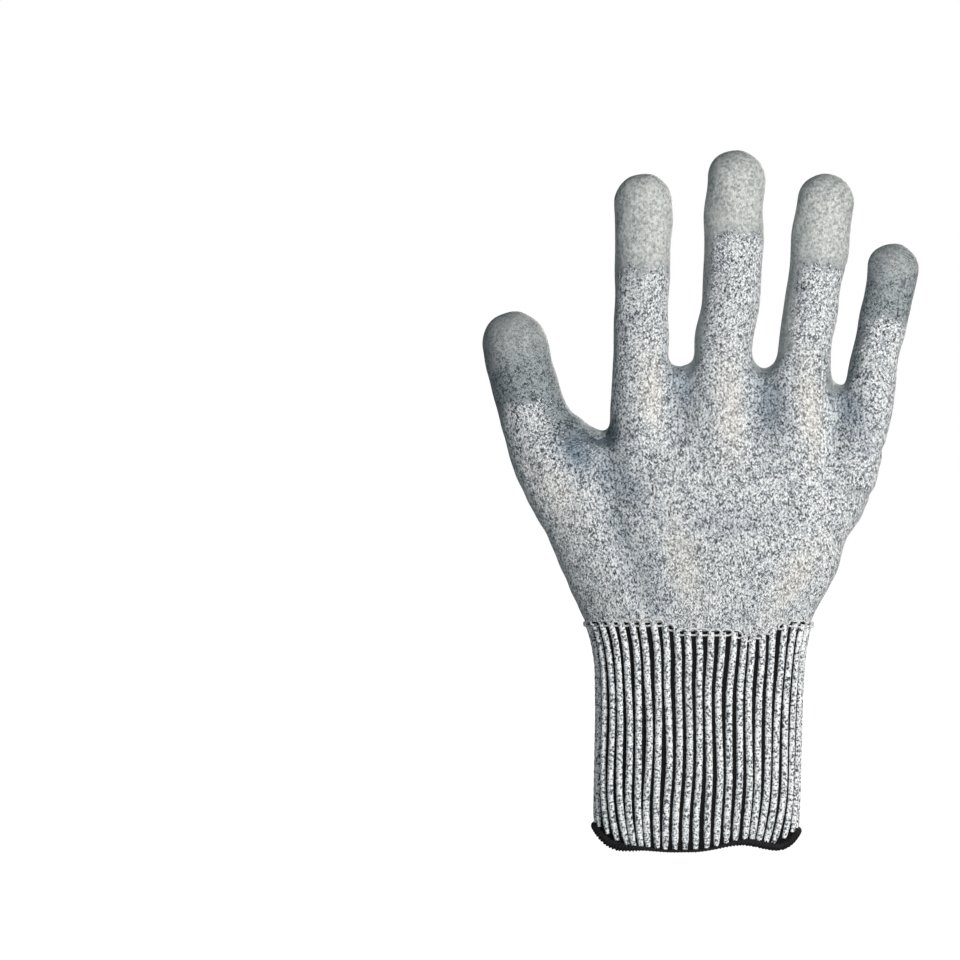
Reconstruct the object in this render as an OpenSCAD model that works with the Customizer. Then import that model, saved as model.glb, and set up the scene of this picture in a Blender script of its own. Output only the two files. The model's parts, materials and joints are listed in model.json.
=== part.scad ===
// Cut resistant work glove, right hand: a seamless knitted liner with a ribbed cuff,
// dipped on the palm side and round the fingertips.
// The glove stands with its cuff mouth on z = 0 and its fingertips up.
// The back of the hand faces -Y, the palm faces +Y and the thumb is on the -X side.
// A digit is a lower stall and a tip stall, and the stretches of knit that bend lie between them.

/* [Cuff] */
// Width of the cuff, over the ribbed ground
cuff_w = 73; // [62:1:84]
// Depth of the cuff, over the ribbed ground
cuff_d = 37; // [30:1:44]
// Height of the overlocked hem
hem_h = 4; // [3:0.5:6]
// Length of the ribbed cuff that keeps its shape, above the hem
rib_len = 58; // [40:1:75]
// Number of ribs round the cuff
rib_count = 48; // [36:2:60]
// Width of one rib
rib_w = 2.2; // [1.4:0.1:2.4]
// How far a rib stands out of the black ground
rib_h = 0.9; // [0.6:0.1:1.4]

/* [Hand] */
// Depth of the hand at the wrist
wrist_d = 38; // [34:1:44]
// Width of the hand where it leaves the cuff
wrist_w = 79; // [70:1:88]
// Height of the hand from its linking course to the finger crotches
palm_len = 94; // [84:1:106]
// How far the little finger side swells past the wrist at mid palm
palm_swell = 21; // [15:1:26]
// Depth of the palm under the knuckles
knuckle_d = 27; // [24:1:32]

/* [Fabric] */
// Thickness of the knitted liner
knit_t = 1.2; // [0.9:0.1:1.6]
// Thickness of the dipped coating
coat_t = 0.5; // [0.3:0.1:0.8]
// How far the coating wraps past mid depth towards the back
coat_wrap = 3; // [1:0.5:5]

/* [Fingers] */
// Radius of the index finger
index_r = 10; // [8.5:0.1:11.5]
// Radius of the middle finger
middle_r = 10.3; // [8.5:0.1:11.5]
// Radius of the ring finger
ring_r = 9.8; // [8.5:0.1:11.5]
// Radius of the little finger
little_r = 9.3; // [8:0.1:10.5]
// Radius of the thumb
thumb_r = 11.6; // [10:0.1:12.5]
// Length of the index finger's lower stretch, between its bends
index_lower = 7.8; // [4:0.1:16]
// Length of the middle finger's lower stretch, between its bends
middle_lower = 11.3; // [7:0.1:19]
// Length of the ring finger's lower stretch, between its bends
ring_lower = 8.6; // [5:0.1:17]
// Length of the little finger's lower stretch, between its bends
little_lower = 3.6; // [2:0.1:12]
// Length of the thumb's lower stretch, between its bends
thumb_lower = 8.2; // [4:0.1:16]
// Length of the index finger's tip, from its middle bend to the round end
index_tip = 15.1; // [8:0.1:23]
// Length of the middle finger's tip, from its middle bend to the round end
middle_tip = 18.8; // [12:0.1:27]
// Length of the ring finger's tip, from its middle bend to the round end
ring_tip = 15.5; // [8:0.1:24]
// Length of the little finger's tip, from its middle bend to the round end
little_tip = 3.4; // [1:0.1:11]
// Length of the thumb's tip, from its middle bend to the round end
thumb_tip = 7.5; // [1:0.1:16]

/* [Bends] */
// Largest bend at the root of a finger, in degrees
root_bend = 70; // [40:1:70]
// Largest bend in the middle of a finger, in degrees
mid_bend = 80; // [40:1:80]
// Largest bend at the root of the thumb, in degrees
thumb_root_bend = 40; // [20:1:40]
// Largest bend in the middle of the thumb, in degrees
thumb_mid_bend = 55; // [30:1:55]
// Largest bend at the wrist, in degrees
wrist_bend = 40; // [20:1:40]

/* [Hidden] */
bond = 0.05;                 // gap left between the knit and the coating that is bonded to it
rib_bond = 0.15;             // the same over the ribs, whose corners stand out from the cuff's oval
seat = 0.3;                  // gap between a stall and the bending knit that it meets
bend_clear = 0.5;            // room left between two stretches at a full bend
coat_run = 18;               // how far the dip runs down over the ribs on the palm side
hoop_count = 7;              // covered elastic threads laid in the cuff
hoop_h = 0.8;
hoop_t = 0.6;
link_h = 1.4;                // height of the linking course between cuff and hand
side_n = 2.6;                // how square the hand's section is: 2 is an ellipse
sides = 40;                  // points round a ring of the hand
fine = 64;                   // segments of round parts

// The crotch gaps between neighbouring fingers, at the height of their root bends.
crotch_gaps = [9, 9.7, 5.6];
// How far the little finger's root sits below the other three.
little_drop = 6.5;
// Lean of each finger towards the little finger side, in degrees.
index_lean = 1.2;
middle_lean = 5.1;
ring_lean = 8.7;
little_lean = 12.6;
thumb_lean = -15;
thumb_tip_lean = -9;

ground_t = 1;                // wall of the black cuff ground
rib_top = hem_h + rib_len;
cuff_reach = cuff_d / 2 + rib_h + coat_t + rib_bond;
wrist_reach = max(cuff_reach, wrist_d / 2 + coat_t + bond);
wrist_half = wrist_reach * tan(wrist_bend / 2) + bend_clear;
wrist_z = rib_top + wrist_half;
link_z = wrist_z + wrist_half;
hand_z = link_z + link_h + bond;
crotch_z = hand_z + palm_len;

// Half the length of a digit's bending stretch: what a bend of that angle needs at that radius.
function bend_half(r, bend) = (r + coat_t + bond) * tan(bend / 2) + bend_clear;

// The root bends lie on one line above the crotches, as high as the thickest finger needs.
root_clear = 0.6;
root_z = crotch_z + bend_half(max(index_r, middle_r, ring_r), root_bend) + root_clear;
index_x = -20.6;
middle_x = index_x + index_r + crotch_gaps[0] + middle_r;
ring_x = middle_x + middle_r + crotch_gaps[1] + ring_r;
little_x = ring_x + ring_r + crotch_gaps[2] + little_r;
thumb_x = -57.5;
heel_r = 16.5;               // radius of the heel of the thumb
heel_y = 1.3;                // how far the heel of the thumb lies towards the palm side
heel_rise = 27;              // height of the heel of the thumb above the linking course
web_r = 9;                   // radius of the web between thumb and index finger
stub_len = 12;               // length of the stub that each digit grows from
lobe_reach = 2.3;            // how far below the thumb's stub the lobe's own end begins
buried_len = 21;             // length of the thumb's stub, whose lower end lies inside the lobe
lobe_step = 0.4;             // how far the thumb's stub stands proud of the lobe
thumb_drop = 35;             // how far the thumb's root bend sits below the fingers'
thumb_z = root_z - thumb_drop;
split_z = crotch_z - 25;     // where the five finger palm ends and the four finger palm begins

// Each digit: root x, root z, lean, lean of its tip, radius, lower length, tip length, two bend limits.
INDEX = [index_x, root_z, index_lean, index_lean, index_r, index_lower, index_tip, root_bend, mid_bend];
MIDDLE = [middle_x, root_z, middle_lean, middle_lean, middle_r, middle_lower, middle_tip,
    root_bend, mid_bend];
RING = [ring_x, root_z, ring_lean, ring_lean, ring_r, ring_lower, ring_tip, root_bend, mid_bend];
LITTLE = [little_x, root_z - little_drop, little_lean, little_lean, little_r, little_lower, little_tip,
    root_bend, mid_bend];
THUMB = [thumb_x, thumb_z, thumb_lean, thumb_tip_lean, thumb_r, thumb_lower, thumb_tip,
    thumb_root_bend, thumb_mid_bend];
FINGERS = [INDEX, MIDDLE, RING, LITTLE];

function d_x(d) = d[0];
function d_z(d) = d[1];
function d_lean(d) = d[2];
function d_tip_lean(d) = d[3];
function d_r(d) = d[4];
function d_lower(d) = d[5];
function d_tip(d) = d[6];
function root_half(d) = bend_half(d_r(d), d[7]);
function mid_half(d) = bend_half(d_r(d), d[8]);
// Distance between a digit's two bends.
function d_pitch(d) = root_half(d) + d_lower(d) + mid_half(d);
// Height of a digit's tip over all, dip included.
function tip_h(d) = d_tip(d) + d_r(d) + bond + coat_t;

KNIT = "lightsteelblue";
COAT = "darkgray";
BLACK = "#202226";
RIB = "gainsboro";

// ---- outlines ----

// A point on an ellipse of half sizes a and b.
function oval_point(a, b, t) = [a * cos(t), b * sin(t)];

// Pairs of the length along an ellipse and the angle there, in small steps.
ARC_STEPS = 720;
arc_step = 360 / ARC_STEPS;
function arc_table(a, b) = [for (
    i = 0, s = 0;
    i <= ARC_STEPS;
    s = s + norm(oval_point(a, b, (i + 1) * arc_step) - oval_point(a, b, i * arc_step)), i = i + 1
) [s, i * arc_step]];
// The angles of n points that divide an ellipse into equal lengths.
function arc_angles(a, b, n) =
    let (table = arc_table(a, b), whole = table[ARC_STEPS][0])
    [for (i = [0 : n - 1]) lookup(i * whole / n, table)];

// The corners of the cuff's ground: one flat under each rib.
GROUND_ANGLES = arc_angles(cuff_w / 2, cuff_d / 2, rib_count);
function ground_outline(inset) =
    [for (t = GROUND_ANGLES) oval_point(cuff_w / 2 - inset, cuff_d / 2 - inset, t)];

// A coordinate of a rounded rectangle's point, for the cosine or sine of its angle.
function squared(v) = sign(v) * pow(abs(v), 2 / side_n);

// A ring of the hand at height z, from x0 to x1 and b to each side of y = 0, grown by grow.
function hand_ring(z, x0, x1, b, grow) =
    let (c = (x0 + x1) / 2, a = (x1 - x0) / 2 + grow, d = b + grow)
    [for (i = [0 : sides - 1])
        let (t = i * 360 / sides)
        [c + a * squared(cos(t)), d * squared(sin(t)), z]];

// Left edge, right edge and half depth of the hand, from the wrist to the crotches.
row_x0 = index_x - index_r;
row_x1 = little_x + little_r;
HAND = [
    // share of the height, left edge, right edge, half depth
    [0, -wrist_w / 2, wrist_w / 2, wrist_d / 2],
    [0.1, -wrist_w / 2 - 4, wrist_w / 2 + 0.25 * palm_swell, wrist_d / 2 + 0.4],
    [0.22, -wrist_w / 2 - 5, wrist_w / 2 + 0.55 * palm_swell, wrist_d / 2],
    [0.47, -wrist_w / 2 - 1.5, wrist_w / 2 + palm_swell, wrist_d / 2 - 1.5],
    [0.7, row_x0 - 3.5, between(wrist_w / 2 + palm_swell, row_x1, 0.5), (wrist_d + knuckle_d) / 4],
    [0.88, row_x0 - 0.5, row_x1 - 1.5, knuckle_d / 2],
    [0.97, row_x0, row_x1, knuckle_d / 2 - 1.2],
    [1, row_x0 + 4, row_x1 - 4, knuckle_d / 2 - 5]];
function hand_at(row, grow) = hand_ring(hand_z + row[0] * palm_len, row[1], row[2], row[3], grow);
function between(a, b, s) = a + (b - a) * s;
// The hand's ring at any share of its height.
function hand_row(s) = [for (k = [0 : 3]) lookup(s, [for (row = HAND) [row[0], row[k]]])];
SPLIT = (split_z - hand_z) / palm_len;
LOWER = concat([for (row = HAND) if (row[0] < SPLIT) row], [hand_row(SPLIT)]);
UPPER = concat([hand_row(SPLIT + seat / palm_len)], [for (row = HAND) if (row[0] > SPLIT) row]);

// ---- solids ----

// A closed solid through a stack of rings that have equal numbers of points.
module loft(rings) {
    n = len(rings[0]);
    m = len(rings);
    polyhedron(
        points = [for (r = rings) for (p = r) p],
        faces = concat(
            [[for (i = [0 : n - 1]) i]],
            [for (k = [0 : m - 2]) for (i = [0 : n - 1])
                for (f = [
                    [k * n + i, (k + 1) * n + i, k * n + (i + 1) % n],
                    [k * n + (i + 1) % n, (k + 1) * n + i, (k + 1) * n + (i + 1) % n]]) f],
            [[for (i = [n - 1 : -1 : 0]) (m - 1) * n + i]]),
        convexity = 6);
}

function raised(ring, h) = [for (p = ring) [p[0], p[1], p[2] + h]];

// The solid through the hand's rows, grown by grow, with a straight length of reach added at both ends.
module hand_loft(rows, grow, reach = 0) {
    rings = [for (row = rows) hand_at(row, grow)];
    last = rings[len(rings) - 1];
    loft(reach == 0 ? rings : concat([raised(rings[0], -reach)], rings, [raised(last, reach)]));
}

// Puts its children on a digit's axis, s along it from the root bend.
module on_digit(d, s = 0) {
    translate([d_x(d), 0, d_z(d)]) rotate([0, d_lean(d), 0]) translate([0, 0, s]) children();
}

// Puts its children on the axis of a digit's tip, s past its middle bend.
module on_tip(d, s = 0) {
    on_digit(d, d_pitch(d)) rotate([0, d_tip_lean(d) - d_lean(d), 0]) translate([0, 0, s]) children();
}

module tube(r, t, h) {
    difference() {
        cylinder(r = r, h = h, $fn = fine);
        translate([0, 0, -1]) cylinder(r = r - t, h = h + 2, $fn = fine);
    }
}

// A rod with a round end, h tall over all.
module round_rod(r, h) {
    cylinder(r = r, h = h - r, $fn = fine);
    intersection() {
        translate([0, 0, h - r]) sphere(r = r, $fn = fine);
        translate([-2 * r, -2 * r, h - r - bond]) cube([4 * r, 4 * r, 2 * r]);
    }
}

// A tube with a round end, h tall over all.
module stall_end(r, t, h) {
    difference() {
        round_rod(r, h);
        translate([0, 0, -t]) round_rod(r - t, h);
        translate([0, 0, -1]) cylinder(r = r - t, h = 2, $fn = fine);
    }
}

// The side of a digit that the dip reaches: the palm half, and a little round the sides.
module palm_side(r, h) {
    translate([-2 * r, -coat_wrap, -1]) cube([4 * r, 4 * r, h + 2]);
}

module root_bend_knit(d) {
    h = root_half(d) - seat;
    color(KNIT) on_digit(d, -h) tube(d_r(d), knit_t, 2 * h);
}

module lower_stall(d) {
    color(KNIT) on_digit(d, root_half(d)) tube(d_r(d), knit_t, d_lower(d));
}

module lower_coating(d) {
    color(COAT) on_digit(d, root_half(d)) intersection() {
        tube(d_r(d) + bond + coat_t, coat_t, d_lower(d));
        palm_side(d_r(d), d_lower(d));
    }
}

// Where the tip leans away from the lower stall, the bending knit takes half of the turn.
module mid_bend_knit(d) {
    turn = d_tip_lean(d) - d_lean(d);
    h = mid_half(d) - seat - d_r(d) * sin(abs(turn) / 2);
    color(KNIT) on_digit(d, d_pitch(d)) rotate([0, turn / 2, 0])
        translate([0, 0, -h]) tube(d_r(d), knit_t, 2 * h);
}

module tip_stall(d) {
    color(KNIT) on_tip(d, mid_half(d)) stall_end(d_r(d), knit_t, tip_h(d) - coat_t - bond);
}

// The dip covers the palm side of the tip stall and all of its round end.
module tip_coating(d) {
    r = d_r(d) + bond + coat_t;
    h = tip_h(d);
    color(COAT) on_tip(d, mid_half(d)) intersection() {
        stall_end(r, coat_t, h);
        union() {
            palm_side(d_r(d), h);
            translate([-2 * r, -2 * r, h - r - 1]) cube([4 * r, 4 * r, r + 2]);
        }
    }
}

// ---- cuff ----

module cuff_band(outer, inner, h) {
    linear_extrude(height = h) difference() {
        polygon(outer);
        polygon(inner);
    }
}

module overlock_hem() {
    color(BLACK) cuff_band(ground_outline(-rib_h - 0.4), ground_outline(ground_t + 0.6), hem_h - bond);
}

module cuff_elastic_ground() {
    color(BLACK) translate([0, 0, hem_h]) cuff_band(ground_outline(0), ground_outline(ground_t), rib_len);
}

// One rib on the middle of each flat of the ground.
module ribs(z0, h) {
    corners = ground_outline(0);
    for (i = [0 : rib_count - 1]) {
        p = corners[i];
        q = corners[(i + 1) % rib_count];
        m = (p + q) / 2;
        along = atan2(q[1] - p[1], q[0] - p[0]);
        translate([m[0], m[1], z0]) rotate([0, 0, along]) translate([-rib_w / 2, -rib_h, 0])
            cube([rib_w, rib_h, h]);
    }
}

module cuff_ribs() {
    color(RIB) ribs(hem_h, rib_len);
}

module cuff_elastic_hoops() {
    gap = rib_len / hoop_count;
    color(BLACK) for (i = [0 : hoop_count - 1])
        translate([0, 0, hem_h + (i + 0.5) * gap])
            cuff_band(ground_outline(ground_t + bond), ground_outline(ground_t + bond + hoop_t), hoop_h);
}

// The dip runs down over the top of the ribs on the palm side.
module cuff_coating() {
    inside = rib_h + rib_bond;
    color(COAT) intersection() {
        translate([0, 0, rib_top - coat_run])
            cuff_band(ground_outline(-inside - coat_t), ground_outline(-inside), coat_run);
        translate([-cuff_w, coat_wrap, 0]) cube([2 * cuff_w, cuff_w, rib_top + 1]);
    }
}

// ---- hand ----

module wrist_bend_knit() {
    bottom = [cuff_w / 2, cuff_d / 2, rib_top + seat];
    top = [wrist_w / 2, wrist_d / 2, link_z - seat];
    function ring(s, inset, z) = hand_ring(z, -between(bottom[0], top[0], s), between(bottom[0], top[0], s),
        between(bottom[1], top[1], s), -inset);
    color(RIB) difference() {
        loft([ring(0, 0, bottom[2]), ring(1, 0, top[2])]);
        loft([ring(0, knit_t, bottom[2] - 1), ring(1, knit_t, top[2] + 1)]);
    }
}

module linking_course() {
    a = hand_ring(0, -wrist_w / 2, wrist_w / 2, wrist_d / 2, 0);
    b = hand_ring(0, -wrist_w / 2, wrist_w / 2, wrist_d / 2, -knit_t);
    color(RIB) translate([0, 0, link_z])
        cuff_band([for (p = a) [p[0], p[1]]], [for (p = b) [p[0], p[1]]], link_h);
}

// The lobe of the hand that carries the thumb, grown by grow: from the heel of the hand to the thumb's stub,
// with the web that joins the thumb to the index finger.
module thumb_lobe(grow) {
    hull() {
        translate([-wrist_w / 2 + heel_r / 2, heel_y, hand_z + heel_rise]) sphere(r = heel_r + grow, $fn = 22);
        translate([row_x0 - 6, heel_y / 2, thumb_z - 11]) sphere(r = web_r + grow, $fn = 22);
        on_digit(THUMB, -root_half(THUMB) - stub_len - lobe_reach)
            cylinder(r = thumb_r - lobe_step + grow, h = stub_len / 2, $fn = 26);
    }
}

// The stub of a digit, grown by grow and longer by extra at both ends: it ends where the root bend begins.
module stub(d, grow, extra, len = stub_len) {
    on_digit(d, -root_half(d) - len - extra) cylinder(r = d_r(d) + grow, h = len + 2 * extra, $fn = fine);
}

module lower_palm_knit() {
    color(KNIT) difference() {
        union() {
            hand_loft(LOWER, 0);
            thumb_lobe(0);
            stub(THUMB, 0, 0, buried_len);
        }
        hand_loft(LOWER, -knit_t, 1);
        thumb_lobe(-knit_t);
        stub(THUMB, -knit_t, 1, buried_len);
    }
}

// The hand's top edge, stepped down to where each finger's root bend begins and lowered by drop.
module hand_top(drop) {
    difference() {
        children();
        for (d = FINGERS) on_digit(d, -root_half(d) - drop)
            translate([-d_r(d) - 4, -wrist_d, 0]) cube([2 * d_r(d) + 8, 2 * wrist_d, 2 * stub_len]);
    }
}

// The room inside the upper palm, closed a thickness of knit below its top.
module hollow_of_upper_palm() {
    intersection() {
        hand_loft(UPPER, -knit_t, 1);
        translate([-2 * wrist_w, -wrist_d, 0]) cube([4 * wrist_w, 2 * wrist_d, crotch_z - knit_t]);
    }
}

module upper_palm_knit() {
    color(KNIT) difference() {
        union() {
            hand_top(bond) hand_loft(UPPER, 0);
            for (d = FINGERS) stub(d, 0, 0);
        }
        hand_top(knit_t) hollow_of_upper_palm();
        for (d = FINGERS) stub(d, -knit_t, 1);
    }
}

// The dip over the palm side of the hand, from the linking course to the finger stubs.
module palm_coating() {
    rows = [for (row = concat(LOWER, UPPER)) if (row[0] < 0.9) row];
    color(COAT) intersection() {
        difference() {
            union() {
                hand_loft(rows, bond + coat_t);
                thumb_lobe(bond + coat_t);
            }
            hand_loft(rows, bond, 1);
            thumb_lobe(bond);
            for (d = [LITTLE, THUMB]) stub(d, bond + coat_t, stub_len);
        }
        translate([-2 * wrist_w, coat_wrap, hand_z]) cube([4 * wrist_w, wrist_d, palm_len]);
    }
}

overlock_hem();
cuff_elastic_ground();
cuff_ribs();
cuff_elastic_hoops();
cuff_coating();
wrist_bend_knit();
linking_course();
lower_palm_knit();
upper_palm_knit();
palm_coating();
root_bend_knit(INDEX);  // index_root_bend
lower_stall(INDEX);  // index_lower_stall
lower_coating(INDEX);  // index_lower_coating
mid_bend_knit(INDEX);  // index_mid_bend
tip_stall(INDEX);  // index_tip_stall
tip_coating(INDEX);  // index_tip_coating
root_bend_knit(MIDDLE);  // middle_root_bend
lower_stall(MIDDLE);  // middle_lower_stall
lower_coating(MIDDLE);  // middle_lower_coating
mid_bend_knit(MIDDLE);  // middle_mid_bend
tip_stall(MIDDLE);  // middle_tip_stall
tip_coating(MIDDLE);  // middle_tip_coating
root_bend_knit(RING);  // ring_root_bend
lower_stall(RING);  // ring_lower_stall
lower_coating(RING);  // ring_lower_coating
mid_bend_knit(RING);  // ring_mid_bend
tip_stall(RING);  // ring_tip_stall
tip_coating(RING);  // ring_tip_coating
root_bend_knit(LITTLE);  // little_root_bend
lower_stall(LITTLE);  // little_lower_stall
lower_coating(LITTLE);  // little_lower_coating
mid_bend_knit(LITTLE);  // little_mid_bend
tip_stall(LITTLE);  // little_tip_stall
tip_coating(LITTLE);  // little_tip_coating
root_bend_knit(THUMB);  // thumb_root_bend
lower_stall(THUMB);  // thumb_lower_stall
lower_coating(THUMB);  // thumb_lower_coating
mid_bend_knit(THUMB);  // thumb_mid_bend
tip_stall(THUMB);  // thumb_tip_stall
tip_coating(THUMB);  // thumb_tip_coating
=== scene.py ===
"""Cut resistant work glove: a knitted liner, dipped on its palm side, with a ribbed elastic cuff.

The glove stands on its cuff. The back of the hand faces -Y, the palm +Y, and the thumb is on the -X side.
Shapes are worked out in millimetres and turned into metres when a mesh is made.
"""

import json
import logging
import math
from collections.abc import Callable
from dataclasses import dataclass
from enum import Enum

import bpy
import numpy as np
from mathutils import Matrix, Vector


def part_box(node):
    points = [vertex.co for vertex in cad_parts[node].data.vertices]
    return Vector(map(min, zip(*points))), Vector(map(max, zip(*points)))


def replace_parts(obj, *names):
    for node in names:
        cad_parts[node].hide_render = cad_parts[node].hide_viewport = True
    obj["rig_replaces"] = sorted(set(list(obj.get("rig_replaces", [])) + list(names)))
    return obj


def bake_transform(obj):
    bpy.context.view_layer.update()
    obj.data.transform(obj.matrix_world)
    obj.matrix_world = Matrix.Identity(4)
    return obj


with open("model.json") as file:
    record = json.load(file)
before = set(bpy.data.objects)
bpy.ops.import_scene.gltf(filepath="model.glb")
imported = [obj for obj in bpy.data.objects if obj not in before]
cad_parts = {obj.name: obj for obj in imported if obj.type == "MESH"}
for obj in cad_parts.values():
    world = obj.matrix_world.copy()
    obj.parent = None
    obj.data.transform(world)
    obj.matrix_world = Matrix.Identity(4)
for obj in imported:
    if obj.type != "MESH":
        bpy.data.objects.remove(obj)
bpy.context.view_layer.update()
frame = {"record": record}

log = logging.getLogger("glove")

MM = 0.001
SEED = 11
Y, Z = 1, 2


class Side(Enum):
    """The two faces of the glove, as the sign of Y that they point to."""

    BACK = -1
    PALM = 1


class Digit(Enum):
    """The glove's five digits, by the names that their CAD nodes and bodies start with."""

    THUMB = "thumb"
    INDEX = "index"
    MIDDLE = "middle"
    RING = "ring"
    LITTLE = "little"


# ---- measures taken from the frame ----


def joint(name: str) -> dict:
    """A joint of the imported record.

    Args:
        name: The joint's name.

    Returns:
        The joint's own entry, with its place and axis.
    """
    return next(j for j in frame["record"]["behaviour"]["joints"] if j["name"] == name)


def pivot(name: str) -> np.ndarray:
    """A joint's place in millimetres.

    Args:
        name: The joint's name.

    Returns:
        The place as three numbers.
    """
    return np.array(joint(name)["pos_m"], float) / MM


def box_mm(node: str) -> tuple[np.ndarray, np.ndarray]:
    """The lowest and highest corner of a CAD node, in millimetres.

    Args:
        node: The node's name.

    Returns:
        The two corners.
    """
    low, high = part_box(node)
    return np.array(low, float) / MM, np.array(high, float) / MM


# ---- small helpers on arrays ----


def ease(value: np.ndarray, low: float, high: float) -> np.ndarray:
    """A smooth step from 0 at low to 1 at high.

    Args:
        value: The numbers to map.
        low: Where the step starts.
        high: Where the step ends.

    Returns:
        Numbers from 0 to 1.
    """
    t = np.clip((value - low) / (high - low), 0, 1)
    return t * t * (3 - 2 * t)


def soft_min(a: np.ndarray, b: np.ndarray, reach: float) -> np.ndarray:
    """The smaller of two distances, with the crease between them rounded.

    Args:
        a: First distances.
        b: Second distances.
        reach: How far from the crease the rounding starts.

    Returns:
        The blended distances.
    """
    h = np.maximum(reach - np.abs(a - b), 0) / reach
    return np.minimum(a, b) - h * h * reach / 4


def soft_max(a: np.ndarray, b: np.ndarray, reach: float) -> np.ndarray:
    """The larger of two distances, with the edge between them rounded.

    Args:
        a: First distances.
        b: Second distances.
        reach: How far from the edge the rounding starts.

    Returns:
        The blended distances.
    """
    return -soft_min(-a, -b, reach)


def through(knots: np.ndarray, steps: int) -> np.ndarray:
    """A smooth path through some knots, as a Catmull-Rom curve.

    Args:
        knots: One row of numbers for each knot.
        steps: How many pieces each stretch between two knots is cut into.

    Returns:
        The path's points, one row each.
    """
    k = np.vstack([2 * knots[0] - knots[1], knots, 2 * knots[-1] - knots[-2]])
    rows = []
    for i in range(1, len(k) - 2):
        a, b, c, d = k[i - 1], k[i], k[i + 1], k[i + 2]
        linear, square, cube = c - a, 2 * a - 5 * b + 4 * c - d, 3 * b - a - 3 * c + d
        for t in np.arange(steps) / steps:
            rows.append(0.5 * (2 * b + linear * t + square * t**2 + cube * t**3))
    rows.append(knots[-1])
    return np.array(rows)


# ---- the shape of the hand, as signed distances ----


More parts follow.
